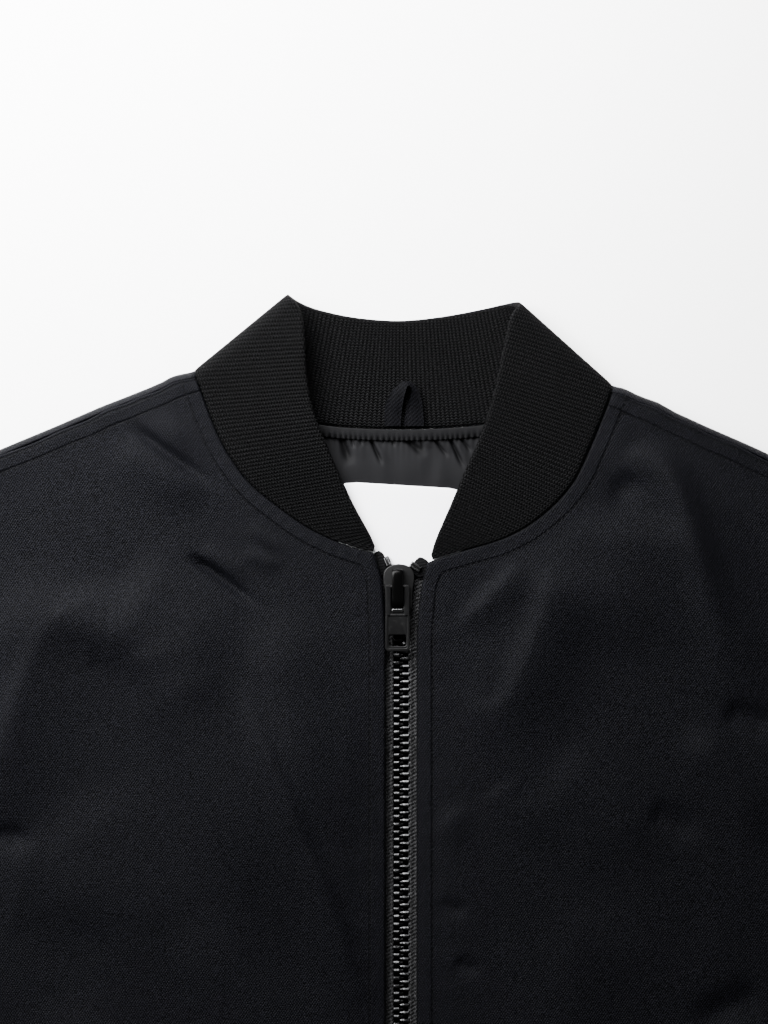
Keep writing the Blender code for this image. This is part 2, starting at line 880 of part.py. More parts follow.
def neck_binding(back, name, material):
    last = len(back.shares) - 1
    low = GAP + LINING_WALL + GAP
    columns = back.neck_columns(BINDING_COLUMNS, BINDING_STEPS)
    wall = Wall()
    made = []
    for along, high in ((0.0, 0.0), (0.5, 0.6), (1.0, 0.1)):
        line = []
        for number, column in enumerate(columns):
            lower = back.inner_point(last - 1, column)
            upper = back.inner_point(last, column)
            place = lower + along * (upper - lower) + np.array((0, 0, low + BINDING_WALL))
            pucker = high * (0.7 + 0.3 * cos(number * pi))
            line.append(wall.point(place, (0, 0, 1), BINDING_WALL, pucker))
        made.append(line)
    wall.grid(made)
    return wall.solid(name, material)


def label(name, material):
    wide, high = LABEL_SIZE
    across = np.array((cos(LABEL_TURN), sin(LABEL_TURN)))
    down = np.array((sin(LABEL_TURN), -cos(LABEL_TURN)))
    wall = Wall()
    made = []
    for row in range(4):
        line = []
        for column in range(6):
            flat = np.array(LABEL_TOP_MID) + wide * (column / 5 - 0.5) * across
            flat = flat + high * row / 3 * down
            place = (flat[0], flat[1], LABEL_Z[1])
            line.append(wall.point(place, (0, 0, 1), LABEL_Z[1] - LABEL_Z[0]))
        made.append(line)
    wall.grid(made)
    return wall.solid(name, material)


def hanger_loop(name, material):
    """Two legs of tape side by side, joined round the top."""
    straight_top = LOOP_TIP_Y - LOOP_TAPE / 2 - LOOP_LEG
    middle = []
    for step in range(4):
        middle.append((-LOOP_LEG, LOOP_BASE_Y + step / 4 * (straight_top - LOOP_BASE_Y), 1, 0))
    for step in range(9):
        angle = pi - step / 8 * pi
        x = LOOP_LEG * cos(angle)
        y = straight_top + LOOP_LEG * sin(angle)
        middle.append((x, y, -cos(angle), -sin(angle)))
    for step in range(3, -1, -1):
        middle.append((LOOP_LEG, LOOP_BASE_Y + step / 4 * (straight_top - LOOP_BASE_Y), -1, 0))
    wall = Wall()
    made = []
    for x, y, in_x, in_y in middle:
        lift = LOOP_TIP_LIFT * smoothstep((y - straight_top + 6) / 10.0)
        line = []
        for half in (-0.5, 0.5):
            place = (
                LOOP_MID_X + x + half * LOOP_TAPE * in_x,
                y + half * LOOP_TAPE * in_y,
                LOOP_Z + LOOP_WALL + lift,
            )
            line.append(wall.point(place, (0, 0, 1), LOOP_WALL))
        made.append(line)
    wall.grid(made)
    return wall.solid(name, material)


# Collar.


def collar(name, material):
    """The rib-knit band, flat, then folded over at both shoulders."""
    seam_shares = [row["seam"] for row in RIB_RUN]
    edge_shares = [row["edge"] for row in RIB_RUN]
    lift_shares = [row["seam"] for row in BAND_LIFT]
    lifts = [row["high"] for row in BAND_LIFT]
    wall = Wall()
    columns = []
    for number in range(2 * RIBS + 1):
        share = number / (2 * RIBS)
        start = SEAM.at(share)
        end = EDGE.at(np.interp(share, seam_shares, edge_shares))
        lift = np.interp(share, lift_shares, lifts)
        column = []
        for across in BAND_ROWS:
            place, outward = folded(start + across * (end - start))
            on_top = 0.5 * (1 + outward[2])
            place = place + np.array((0, 0, lift * across**2 * on_top))
            rib = -BAND_EDGE_TUCK if across == 1 else RIB_HIGH * (number % 2)
            column.append(wall.point(place, outward, SEAM_WALL + rib, rib * on_top))
        columns.append(column)
    wall.grid(columns)
    return wall.solid(name, material)


# Zip.


def zip_tape(side, name, material):
    outline = [
        (side * TAPE_X[0], TAPE_LOW_Y),
        (side * TAPE_X[1], TAPE_LOW_Y),
        (side * TAPE_X[1], TAPE_TOP_Y[1]),
        (side * TAPE_X[0], TAPE_TOP_Y[0]),
    ]
    return prism(name, outline, *TAPE_Z, material)


def slider_outline(material, name, z):
    right = [(0.0, 227.5), (4.2, 226.6), (6.8, 224.2), (7.5, 221.4), (6.9, 216.0), (6.5, 206.0)]
    left = [(-x, y) for x, y in right[:0:-1]]
    outline = [(SLIDER_X + x, y) for x, y in right + left]
    return prism(name, outline, *z, material)


def zip_slider(name, material):
    """Two plates joined by a post, with flanges beside the chain and a crown on top."""
    slider = slider_outline(material, name, SLIDER_TOP_Z)
    parts = [slider_outline(material, "slider_lower_plate", SLIDER_LOW_Z)]
    post = rectangle(SLIDER_X - SLIDER_POST_HALF, SLIDER_X + SLIDER_POST_HALF, *SLIDER_POST_Y)
    parts.append(prism("slider_post", post, SLIDER_LOW_Z[1] - 0.5, SLIDER_TOP_Z[0] + 0.5, material))
    for side in (-1, 1):
        near, far = sorted(SLIDER_X + side * x for x in SLIDER_FLANGE_X)
        flange = rectangle(near, far, *SLIDER_FLANGE_Y)
        where = "left" if side < 0 else "right"
        parts.append(prism(f"slider_flange_{where}", flange, *SLIDER_FLANGE_Z, material))
    parts.append(crown("slider_crown", material))
    for part in parts:
        joined(slider, part, "UNION")
    return slider


def crown(name, material):
    """A bridge over the tab's pin, standing on two legs."""
    low, high = CROWN_Y
    profile = [
        (low, CROWN_FOOT_Z),
        (low + CROWN_LEG, CROWN_FOOT_Z),
        (low + CROWN_LEG, CROWN_UNDER_Z - 0.6),
        (low + CROWN_LEG + 1.0, CROWN_UNDER_Z),
        (high - CROWN_LEG - 1.0, CROWN_UNDER_Z),
        (high - CROWN_LEG, CROWN_UNDER_Z - 0.6),
        (high - CROWN_LEG, CROWN_FOOT_Z),
        (high, CROWN_FOOT_Z),
        (high, CROWN_TOP_Z - 2.0),
        (high - 2.0, CROWN_TOP_Z - 0.4),
        (high - 6.0, CROWN_TOP_Z),
        (low + 5.0, CROWN_TOP_Z),
        (low + 1.2, CROWN_TOP_Z - 0.6),
        (low, CROWN_TOP_Z - 1.8),
    ]
    count = len(profile)
    halves = (CROWN_X - CROWN_HALF, CROWN_X + CROWN_HALF)
    points = [(x, y, z) for x in halves for y, z in profile]
    sides = [(i, (i + 1) % count, count + (i + 1) % count, count + i) for i in range(count)]
    caps = [tuple(range(count)), tuple(range(count, 2 * count))]
    return solid(name, points, sides + caps, material, smooth=False)


def pull_tab(name, material):
    """A fork on a round pin, hinged under the crown; its origin is on the pin's axis."""
    half = TAB_THICK / 2
    corner = 1.6
    low = TAB_LOW_Y - PIN_Y
    outline = [
        (-TAB_HALF, 0.0),
        (-TAB_HALF, low + corner),
        (-TAB_HALF + 0.5, low + 0.5),
        (-TAB_HALF + corner, low),
        (TAB_HALF - corner, low),
        (TAB_HALF - 0.5, low + 0.5),
        (TAB_HALF, low + corner),
        (TAB_HALF, 0.0),
    ]
    tab = prism(name, outline, -half, half, material)
    slot_half = CROWN_HALF + GAP
    slot = rectangle(-slot_half, slot_half, TAB_SLOT_LOW_Y - PIN_Y, 3.0)
    window_low, window_high = (y - PIN_Y for y in TAB_WINDOW_Y)
    window = rectangle(-TAB_WINDOW_HALF, TAB_WINDOW_HALF, window_low, window_high)
    cutters = [prism("tab_slot_cut", slot, -3.0, 3.0, material)]
    cutters.append(prism("tab_window_cut", window, -3.0, 3.0, material))
    pin = round_bar("tab_pin", material)
    for cutter in cutters:
        joined(tab, cutter, "DIFFERENCE")
    joined(tab, pin, "UNION")
    hinge = bpy.data.objects.new("pull_tab_hinge", None)
    bpy.context.scene.collection.objects.link(hinge)
    hinge.location = (CROWN_X * MM, PIN_Y * MM, PIN_Z * MM)
    for part in (tab, *cutters, pin):
        part.parent = hinge
    return tab


def round_bar(name, material):
    """The tab's pin, along X through the hinge's axis."""
    sides = 16
    ring = [(PIN_R * cos(2 * pi * i / sides), PIN_R * sin(2 * pi * i / sides)) for i in range(sides)]
    points = [(x, y, z) for x in (-TAB_HALF + 0.02, TAB_HALF - 0.02) for y, z in ring]
    walls = [(i, (i + 1) % sides, sides + (i + 1) % sides, sides + i) for i in range(sides)]
    caps = [tuple(range(sides)), tuple(range(sides, 2 * sides))]
    return solid(name, points, walls + caps, material, smooth=False)


def zip_stop(name, place, material):
    x, y, turn = place
    long, wide, high = STOP_SIZE
    outline = []
    for across, along in rectangle(-long / 2, long / 2, -wide / 2, wide / 2):
        turned_x = x + across * cos(turn) - along * sin(turn)
        turned_y = y + across * sin(turn) + along * cos(turn)
        outline.append((turned_x, turned_y))
    stop = prism(name, outline, STOP_Z, STOP_Z + high, material)
    bevel = stop.modifiers.new("worn edges", "BEVEL")
    bevel.width = 0.5 * MM
    bevel.segments = 2
    return stop


def clear_scene():
    for old in list(bpy.data.objects):
        bpy.data.objects.remove(old, do_unlink=True)


def build():
    clear_scene()
    cloth = {name: principled(name, *finish, 0.0) for name, finish in CLOTH.items()}
    metal = {name: principled(name, *finish, 0.9) for name, finish in METAL.items()}
    back = Back()
    back.panel("back", cloth["shell"])
    front_panel(-1, "front_left", cloth["shell"])
    front_panel(1, "front_right", cloth["shell"])
    collar("collar", cloth["rib_knit"])
    back_lining(back, "back_lining", cloth["lining"])
    neck_binding(back, "neck_binding", cloth["binding"])
    label("label", cloth["label"])
    hanger_loop("hanger_loop", cloth["tape"])
    zip_tape(-1, "zip_tape_left", cloth["tape"])
    zip_tape(1, "zip_tape_right", cloth["tape"])
    chain = rectangle(-CHAIN_HALF, CHAIN_HALF, *CHAIN_Y)
    prism("zip_chain", chain, *CHAIN_Z, metal["zip_teeth"])
    box = rectangle(-CHAIN_HALF, CHAIN_HALF, *BOX_Y)
    prism("zip_box", box, *BOX_Z, metal["zip_metal"])
    zip_slider("zip_slider", metal["zip_metal"])
    pull_tab("pull_tab", metal["zip_metal"])
    for name, place in ZIP_STOPS.items():
        zip_stop(name, place, metal["zip_metal"])


build()
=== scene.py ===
# %% [markdown]
# # A padded vest, laid flat and seen from above
#
# The solids of the vest are already built at their real size. This script dresses them:
# black nylon twill over thin padding, a rib-knit stand collar, the gathered lining that
# shows inside the neck, and a metal zip. Each step makes one piece or one finish.
# Sizes are in millimetres unless a line says otherwise, and MM turns them into metres.

# %% Load the solids
from math import asin, cos, hypot, pi, radians, sin

import bmesh
import bpy
import numpy as np
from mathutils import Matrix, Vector, noise
from mathutils.bvhtree import BVHTree


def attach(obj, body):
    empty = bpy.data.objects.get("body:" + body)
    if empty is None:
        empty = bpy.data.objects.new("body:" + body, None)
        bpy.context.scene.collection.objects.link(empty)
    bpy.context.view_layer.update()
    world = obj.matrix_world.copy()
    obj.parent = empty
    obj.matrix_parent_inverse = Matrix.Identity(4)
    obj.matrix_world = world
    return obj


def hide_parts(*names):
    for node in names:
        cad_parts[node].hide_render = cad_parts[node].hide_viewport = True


MM = 0.001
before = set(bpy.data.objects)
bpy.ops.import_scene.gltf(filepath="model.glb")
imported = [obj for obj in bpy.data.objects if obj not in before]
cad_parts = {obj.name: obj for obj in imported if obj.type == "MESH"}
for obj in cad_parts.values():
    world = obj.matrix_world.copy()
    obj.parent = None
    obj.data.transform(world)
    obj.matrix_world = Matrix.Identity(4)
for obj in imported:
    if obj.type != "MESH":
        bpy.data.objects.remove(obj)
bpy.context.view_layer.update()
BODY = "vest"
print("solids:", sorted(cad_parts))


# %% Small tables
def table(columns, *rows):
    """Rows of values, each value under the name of its column."""
    names = columns.split()
    return [dict(zip(names, row)) for row in rows]


# %% [markdown]
# ## Camera and light
#
# The photograph looks straight down at the vest, and its frame is a little smaller than
# the collar and chest. One pixel is 0.48 mm at the cloth, so the frame's size follows
# from that. The camera hangs high up with a long lens, which keeps the edges from
# leaning.
#
# Black cloth shows its shape only by what glances off it, so the light is low. Four
# soft boxes stand round the vest. The one beyond the collar and the one on the left
# stand near, because the photograph is brightest there and falls off quickly. Their
# spread is narrowed, as the grid on a studio box does, which keeps their light on the
# cloth and off the surface round it. The other two are far away and only fill in.

# %% Camera over the neck
PIXEL = 0.48
FRAME_PIXELS = (768, 1024)
FRAME_CENTRE = (-8.2, 252.4)
CAMERA_HIGH = 1800.0
CLOTH_TOP = 12.6
SENSOR = 36.0

camera_data = bpy.data.cameras.new("overhead camera")
camera_data.sensor_width = SENSOR
camera_data.lens = SENSOR * CAMERA_HIGH / (FRAME_PIXELS[1] * PIXEL)
camera = bpy.data.objects.new("overhead camera", camera_data)
camera.location = Vector((*FRAME_CENTRE, CAMERA_HIGH + CLOTH_TOP)) * MM
bpy.context.scene.collection.objects.link(camera)
bpy.context.scene.camera = camera
print("lens", round(camera_data.lens, 1), "mm")

# %% Soft boxes, in metres, watts and degrees
SOFT_BOXES = table(
    "name place target size watts spread",
    ("soft box beyond the collar", (-0.3, 0.72, 0.42), (-0.08, 0.45, 0), (0.8, 0.42), 29, 120),
    ("soft box left", (-0.75, 0.5, 0.4), (-0.1, 0.4, 0), (0.6, 0.5), 8.5, 150),
    ("soft box right", (2.1, 0.6, 1.2), (0, 0.2, 0), (1.4, 1.4), 16, 180),
    ("soft box at the hem", (0.2, -2.0, 1.2), (0, 0.1, 0), (1.6, 1.2), 1, 180),
)
ROOM_LIGHT = 0.3


def soft_box(box):
    light = bpy.data.lights.new(box["name"], "AREA")
    light.shape = "RECTANGLE"
    light.size, light.size_y = box["size"]
    light.energy = box["watts"]
    light.spread = radians(box["spread"])
    lamp = bpy.data.objects.new(box["name"], light)
    lamp.location = box["place"]
    towards = Vector(box["target"]) - Vector(box["place"])
    lamp.rotation_euler = towards.to_track_quat("-Z", "Y").to_euler()
    bpy.context.scene.collection.objects.link(lamp)


for box in SOFT_BOXES:
    soft_box(box)
    print(box["name"], box["watts"], "W")

# %% Light of the room
world = bpy.data.worlds.new("pale studio")
world.use_nodes = True
background = world.node_tree.nodes["Background"]
background.inputs["Color"].default_value = (1, 1, 1, 1)
background.inputs["Strength"].default_value = ROOM_LIGHT
bpy.context.scene.world = world
print("room light", ROOM_LIGHT)

# %% [markdown]
# ## Small helpers for nodes and meshes
#
# Shader and geometry trees are both lists of nodes and links. One helper adds a node,
# sets it and joins its inputs, so that each tree below reads as a short recipe. A few
# more stand for the nodes that come up again and again.


# %% Node helpers
def node(tree, kind, inputs=None, **settings):
    made = tree.nodes.new(kind)
    for name, value in settings.items():
        setattr(made, name, value)
    for name, value in (inputs or {}).items():
        if isinstance(value, bpy.types.NodeSocket):
            tree.links.new(value, made.inputs[name])
        else:
            made.inputs[name].default_value = value
    return made


def maths(tree, operation, first, second=None, third=None):
    given = {0: first, 1: second, 2: third}
    inputs = {place: value for place, value in given.items() if value is not None}
    return node(tree, "ShaderNodeMath", inputs, operation=operation).outputs[0]


def scaled(tree, vector, factor):
    inputs = {0: vector, "Scale": factor}
    return node(tree, "ShaderNodeVectorMath", inputs, operation="SCALE").outputs[0]


def ranged(tree, value, low, high, to_low=0.0, to_high=1.0, **settings):
    """Stretches one range of a value over another, and holds it at the ends."""
    inputs = {
        "Value": value,
        "From Min": low,
        "From Max": high,
        "To Min": to_low,
        "To Max": to_high,
    }
    return node(tree, "ShaderNodeMapRange", inputs, **settings).outputs[0]


def clouds(tree, place, scale, detail, roughness=0.5):
    inputs = {"Vector": place, "Scale": scale, "Detail": detail, "Roughness": roughness}
    return node(tree, "ShaderNodeTexNoise", inputs).outputs["Fac"]


def stored(tree, name):
    """A value that the piece keeps at each of its points."""
    return node(tree, "ShaderNodeAttribute", attribute_name=name).outputs["Fac"]


def group_of(kind, name, inputs, outputs):
    """A new tree with its named inputs and outputs."""
    tree = bpy.data.node_groups.new(name, kind)
    for label, socket, value in inputs:
        made = tree.interface.new_socket(label, in_out="INPUT", socket_type=socket)
        if value is not None:
            made.default_value = value
    for label, socket in outputs:
        tree.interface.new_socket(label, in_out="OUTPUT", socket_type=socket)
    return tree, node(tree, "NodeGroupInput").outputs, node(tree, "NodeGroupOutput").inputs


# %% Kinds of sockets
FLOAT = "NodeSocketFloat"
GEOMETRY = "NodeSocketGeometry"
MATERIAL = "NodeSocketMaterial"
WHOLE = "NodeSocketInt"


# %% Mesh helpers
def shown(name, mesh):
    made = bpy.data.objects.new(name, mesh)
    bpy.context.scene.collection.objects.link(made)
    return made


def piece(name, points, faces, material, smooth=True):
    """A piece from points in millimetres."""
    mesh = bpy.data.meshes.new(name)
    mesh.from_pydata([tuple(float(v) * MM for v in point) for point in points], [], faces)
    shape = bmesh.new()
    shape.from_mesh(mesh)
    bmesh.ops.recalc_face_normals(shape, faces=shape.faces)
    shape.to_mesh(mesh)
    shape.free()
    if smooth:
        mesh.shade_smooth()
    mesh.materials.append(material)
    return shown(name, mesh)


def applied(obj):
    """Makes what the modifiers show into the object's own mesh."""
    bpy.context.view_layer.update()
    seen = obj.evaluated_get(bpy.context.evaluated_depsgraph_get())
    mesh = bpy.data.meshes.new_from_object(seen)
    obj.modifiers.clear()
    obj.data = mesh
    mesh.name = obj.name
    return obj


def triangles(obj):
    return sum(len(face.vertices) - 2 for face in obj.data.polygons)


def told(obj):
    """Prints how large a piece is and how fine its mesh is."""
    size = [round(v / MM, 1) for v in obj.dimensions]
    print(obj.name, size, "mm,", triangles(obj), "triangles")


def coordinates(obj):
    points = np.empty(len(obj.data.vertices) * 3)
    obj.data.vertices.foreach_get("co", points)
    return points.reshape(-1, 3) / MM


def set_coordinates(obj, points):
    obj.data.vertices.foreach_set("co", (points * MM).ravel())
    obj.data.update()


def smoothstep(value):
    value = np.clip(value, 0.0, 1.0)
    return value * value * (3 - 2 * value)


# %% [markdown]
# ## Finishes shared by several pieces
#
# Cloth is never one flat colour: threads stand up and catch light, and dye and dust vary
# over a hand's width. These effects are shader groups, built once. They give out a
# height for the bump and a shade for the colour, and each material mixes them its own
# way. They read object coordinates, because every piece here is nearly flat.
#
# A weave as fine as the real one, 0.82 by 1.07 mm, falls between the picture's pixels
# and is lost. The shell's is drawn a little coarser, so that it shows as in the
# photograph.


# %% Woven grain
WEAVE_SHARE = 0.65
UNEVEN_SHARE = 0.6
THREAD_SPOTS = 1.6
CLOUD_RANGE = (0.25, 0.75)


def woven_grain():
    """Threads over and under in rows, with some uneven ones."""
    inputs = [("Across mm", FLOAT, 0.8), ("Along mm", FLOAT, 1.07), ("Slant", FLOAT, 0.0)]
    outputs = [("Height", FLOAT), ("Shade", FLOAT)]
    tree, given, out = group_of("ShaderNodeTree", "woven grain", inputs, outputs)
    place = node(tree, "ShaderNodeTexCoord").outputs["Object"]
    split = node(tree, "ShaderNodeSeparateXYZ", {0: place}).outputs
    x, y, z = (maths(tree, "DIVIDE", split[axis], MM) for axis in "XYZ")
    leaning = maths(tree, "MULTIPLY_ADD", x, given["Slant"], y)
    rows = maths(tree, "DIVIDE", leaning, given["Across mm"])
    along = maths(tree, "DIVIDE", x, given["Along mm"])
    spot = node(tree, "ShaderNodeCombineXYZ", {0: along, 1: rows, 2: z}).outputs[0]
    threads = clouds(tree, spot, THREAD_SPOTS, 1.0)
    over = maths(tree, "SINE", maths(tree, "MULTIPLY", rows, pi))
    under = maths(tree, "SINE", maths(tree, "MULTIPLY", along, 2 * pi))
    weave = maths(tree, "MULTIPLY", over, under)
    uneven = ranged(tree, threads, *CLOUD_RANGE, -1.0, 1.0)
    rough = maths(tree, "MULTIPLY", uneven, UNEVEN_SHARE)
    height = maths(tree, "MULTIPLY_ADD", weave, WEAVE_SHARE, rough)
    tree.links.new(height, out["Height"])
    tree.links.new(height, out["Shade"])
    return tree


GRAIN = woven_grain()
print(GRAIN.name, "for cloth and tapes")


# %% Dust and uneven dye
def uneven_dye():
    inputs = [("Patch mm", FLOAT, 60.0), ("Low", FLOAT, 0.9), ("High", FLOAT, 1.1)]
    tree, given, out = group_of("ShaderNodeTree", "uneven dye", inputs, [("Factor", FLOAT)])
    place = node(tree, "ShaderNodeTexCoord").outputs["Object"]
    size = maths(tree, "DIVIDE", 1 / MM, given["Patch mm"])
    patches = clouds(tree, place, size, 4.0)
    factor = ranged(tree, patches, 0.3, 0.7, given["Low"], given["High"])
    tree.links.new(factor, out["Factor"])
    return tree


DYE = uneven_dye()
print(DYE.name, "for every cloth")

# %% [markdown]
# ### Knitted stitches
#
# Each rib of the collar is a column of small V shapes, one for each stitch. They are too
# fine to model, and they have to turn with the band. So the pattern reads a map that
# counts ribs across the band and millimetres along it, and not the object's coordinates.

# %% Knitted stitches that follow a band
V_SLOPE = 1.3
LOOP_SHARE = 0.6
YARN_SHARE = 0.5


def knitted_stitches():
    """Small V shapes up every rib, from a map of ribs across and millimetres along."""
    inputs = [("Stitch mm", FLOAT, 1.0)]
    outputs = [("Height", FLOAT), ("Shade", FLOAT)]
    tree, given, out = group_of("ShaderNodeTree", "knitted stitches", inputs, outputs)
    band = node(tree, "ShaderNodeUVMap", uv_map="band").outputs[0]
    split = node(tree, "ShaderNodeSeparateXYZ", {0: band}).outputs
    in_rib = maths(tree, "FRACT", split["X"])
    from_middle = maths(tree, "ABSOLUTE", maths(tree, "SUBTRACT", in_rib, 0.5))
    rows = maths(tree, "DIVIDE", split["Y"], given["Stitch mm"])
    slanted = maths(tree, "ADD", rows, maths(tree, "MULTIPLY", from_middle, V_SLOPE))
    loops = maths(tree, "SINE", maths(tree, "MULTIPLY", slanted, 2 * pi))
    yarn = ranged(tree, clouds(tree, band, THREAD_SPOTS, 1.0), *CLOUD_RANGE, -1.0, 1.0)
    rough = maths(tree, "MULTIPLY", yarn, YARN_SHARE)
    height = maths(tree, "MULTIPLY_ADD", loops, LOOP_SHARE, rough)
    tree.links.new(height, out["Height"])
    tree.links.new(height, out["Shade"])
    return tree


KNIT = knitted_stitches()
print(KNIT.name, "for the collar")

# %% [markdown]
# ### Scuffs and pressed lines
#
# Paint on a zip wears in small marks, which a fine noise cut off high gives. A row of
# topstitching pulls the padding down into a shallow groove. The groove is one smooth
# line at a given distance from a seam, so the panel only has to keep that distance.

# %% Scuffed paint
SCUFF_HIGH = 0.8
SCUFF_LOW = 0.75


def scuffs():
    inputs = [("Mark mm", FLOAT, 1.2), ("Amount", FLOAT, 0.35)]
    tree, given, out = group_of("ShaderNodeTree", "scuffs", inputs, [("Mask", FLOAT)])
    place = node(tree, "ShaderNodeTexCoord").outputs["Object"]
    size = maths(tree, "DIVIDE", 1 / MM, given["Mark mm"])
    marks = clouds(tree, place, size, 5.0, 0.7)
    low = maths(tree, "SUBTRACT", SCUFF_LOW, given["Amount"])
    tree.links.new(ranged(tree, marks, low, SCUFF_HIGH), out["Mask"])
    return tree


SCUFFS = scuffs()
print(SCUFFS.name, "for the zip's metal")


# %% A line pressed in by stitches
def pressed_line():
    """Full on a line beside a seam, from an attribute that holds the distance to it."""
    inputs = [("Distance", FLOAT, 0.0), ("At mm", FLOAT, 7.6), ("Half mm", FLOAT, 0.9)]
    tree, given, out = group_of("ShaderNodeTree", "pressed line", inputs, [("Mask", FLOAT)])
    away = maths(tree, "ABSOLUTE", maths(tree, "SUBTRACT", given["Distance"], given["At mm"]))
    share = maths(tree, "DIVIDE", away, given["Half mm"])
    mask = ranged(tree, share, 1.0, 0.0, interpolation_type="SMOOTHSTEP")
    tree.links.new(mask, out["Mask"])
    return tree


PRESSED = pressed_line()
print(PRESSED.name, "for the topstitching")

# %% [markdown]
# ## Materials
#
# The shell is nylon: nearly black, a little blue, with a low sheen that shows on every
# fold. The rib knit is the darkest and the dullest. The lining is a smooth charcoal
# taffeta that shines along its gathers. The zip is painted and plated metal.
#
# A picture of the cloth would give the same colours, but only at one size and from one
# side. Colours made by rule hold at any distance, and a maker can dye them again.


# %% How a material is put together
DARKEST = 0.1


def base_material(name, colour, roughness, specular):
    material = bpy.data.materials.new(name)
    material.use_nodes = True
    shader = material.node_tree.nodes["Principled BSDF"]
    shader.inputs["Base Color"].default_value = (*colour, 1)
    shader.inputs["Roughness"].default_value = roughness
    shader.inputs["Specular IOR Level"].default_value = specular
    return material, material.node_tree, shader


def tinted(tree, shader, colour, *factors):
    """Multiplies the colour by masks that change over the surface."""
    value = factors[0]
    for factor in factors[1:]:
        value = maths(tree, "MULTIPLY", value, factor)
    tree.links.new(scaled(tree, colour, value), shader.inputs["Base Color"])


def contrasted(tree, shade, contrast):
    """A factor round 1 from a shade of -1 to 1, never quite black."""
    factor = maths(tree, "MULTIPLY_ADD", shade, contrast, 1.0)
    return maths(tree, "MAXIMUM", factor, DARKEST)


def bumped(tree, shader, height, depth, normal=None):
    """A bump of this depth in millimetres, on top of another if one is given."""
    inputs = {"Height": height, "Distance": depth * MM, "Strength": 1.0}
    if normal is not None:
        inputs["Normal"] = normal
    made = node(tree, "ShaderNodeBump", inputs).outputs[0]
    tree.links.new(made, shader.inputs["Normal"])
    return made


def use(tree, group, **inputs):
    """Places a shared group with this material's own values."""
    named = {label.replace("_", " "): value for label, value in inputs.items()}
    return node(tree, "ShaderNodeGroup", named, node_tree=group).outputs


# %% Cloths
def cloth(name, colour, roughness, specular, grain, depth, contrast=0.25, dye=(0.88, 1.12)):
    """A woven cloth, from its colour, its threads in millimetres and their depth."""
    material, tree, shader = base_material(name, colour, roughness, specular)
    weave = use(tree, GRAIN, **grain)
    shade = contrasted(tree, weave["Shade"], contrast)
    patch = use(tree, DYE, Low=dye[0], High=dye[1])["Factor"]
    tinted(tree, shader, colour, shade, patch)
    bumped(tree, shader, weave["Height"], depth)
    return material


taffeta = cloth(
    "charcoal lining taffeta",
    (0.0045, 0.0045, 0.0049),
    roughness=0.5,
    specular=0.015,
    grain={"Across_mm": 0.5, "Along_mm": 0.9, "Slant": 0.0},
    depth=0.006,
    contrast=0.1,
)
binding_cloth = cloth(
    "gathered binding tape",
    (0.0027, 0.0027, 0.003),
    roughness=0.5,
    specular=0.03,
    grain={"Across_mm": 0.6, "Along_mm": 0.6, "Slant": 0.0},
    depth=0.015,
    contrast=0.25,
)
loop_cloth = cloth(
    "twill loop tape",
    (0.0012, 0.0012, 0.00155),
    roughness=0.6,
    specular=0.015,
    grain={"Across_mm": 1.0, "Along_mm": 1.3, "Slant": 0.6},
    depth=0.12,
    contrast=1.3,
)
# Painted light: the zip tape is given a lighter colour than its cloth has, to stand in for light in
# the shadow of the shell's edges.
zip_tape_painted_lighter = cloth(
    "woven zip tape",
    (0.0125, 0.0125, 0.013),
    roughness=0.6,
    specular=0.03,
    grain={"Across_mm": 0.9, "Along_mm": 1.3, "Slant": 0.9},
    depth=0.2,
    contrast=2.4,
)
# Painted shade: the folded end is the same tape as the zip tape, made far darker because its top
# lies open to the light.
tape_end_painted_darker = cloth(
    "folded end of the zip tape",
    (0.0012, 0.0012, 0.0014),
    roughness=0.5,
    specular=0.05,
    grain={"Across_mm": 0.7, "Along_mm": 1.3, "Slant": 0.9},
    depth=0.1,
    contrast=0.9,
)
label_satin = cloth(
    "bare white label",
    (0.86, 0.86, 0.89),
    roughness=0.55,
    specular=0.3,
    grain={"Across_mm": 0.3, "Along_mm": 2.2, "Slant": 0.0},
    depth=0.006,
    contrast=0.02,
    dye=(0.98, 1.02),
)
thread = cloth(
    "sewing thread",
    (0.0013, 0.0013, 0.0017),
    roughness=0.45,
    specular=0.03,
    grain={"Across_mm": 0.3, "Along_mm": 0.3, "Slant": 1.0},
    depth=0.02,
)
print("cloths:", [material.name for material in bpy.data.materials])


# %% Painted shade in the folds
def painted_fold_shade(material, share):
    """Painted shade: darkens the colour at the bottom of each narrow fold, where less light
    reaches.
    """
    tree = material.node_tree
    shader = tree.nodes["Principled BSDF"]
    colour = shader.inputs["Base Color"].links[0].from_socket
    factor = maths(tree, "MULTIPLY_ADD", stored(tree, "in_fold"), -share, 1.0)
    tree.links.new(scaled(tree, colour, factor), shader.inputs["Base Color"])
    print(material.name, "darker by", share, "in its folds")


painted_fold_shade(taffeta, 0.6)
painted_fold_shade(binding_cloth, 0.75)

# %% [markdown]
# ### Shell cloth
#
# Along the neckline, the front edge and the shoulder seams the cloth is turned in and
# stitched through. It lies a little higher there, up to a groove in which the thread
# sits. Two bumps do this: a deep one for the sewn shape, and on top of it a shallow one
# for the weave. The grooves and the very rim are darkened in the colour as painted
# shade, where the cloth turns away into the seam.

# %% Sizes of the sewn edges
SHELL_COLOUR = (0.00165, 0.00168, 0.00228)
SHELL_GRAIN = {"Across_mm": 0.93, "Along_mm": 1.24, "Slant": 0.02}
SHELL_CONTRAST = 1.8
SHELL_BUMP = 0.15
TOPSTITCH = 7.6
SHOULDER_ROWS = (1.85, 7.55)
GROOVE_HALF = 1.0
GROOVE_DEEP = 0.32
GROOVE_PAINTED_SHADE = 0.5
HEM_LIFT = 0.35
LIFT_ENDS = (1.2, -0.4)
RIM_WIDE = (0.25, 1.3)
RIM_PAINTED_SHADE = 0.3
print("topstitching", TOPSTITCH, "mm from the edges")


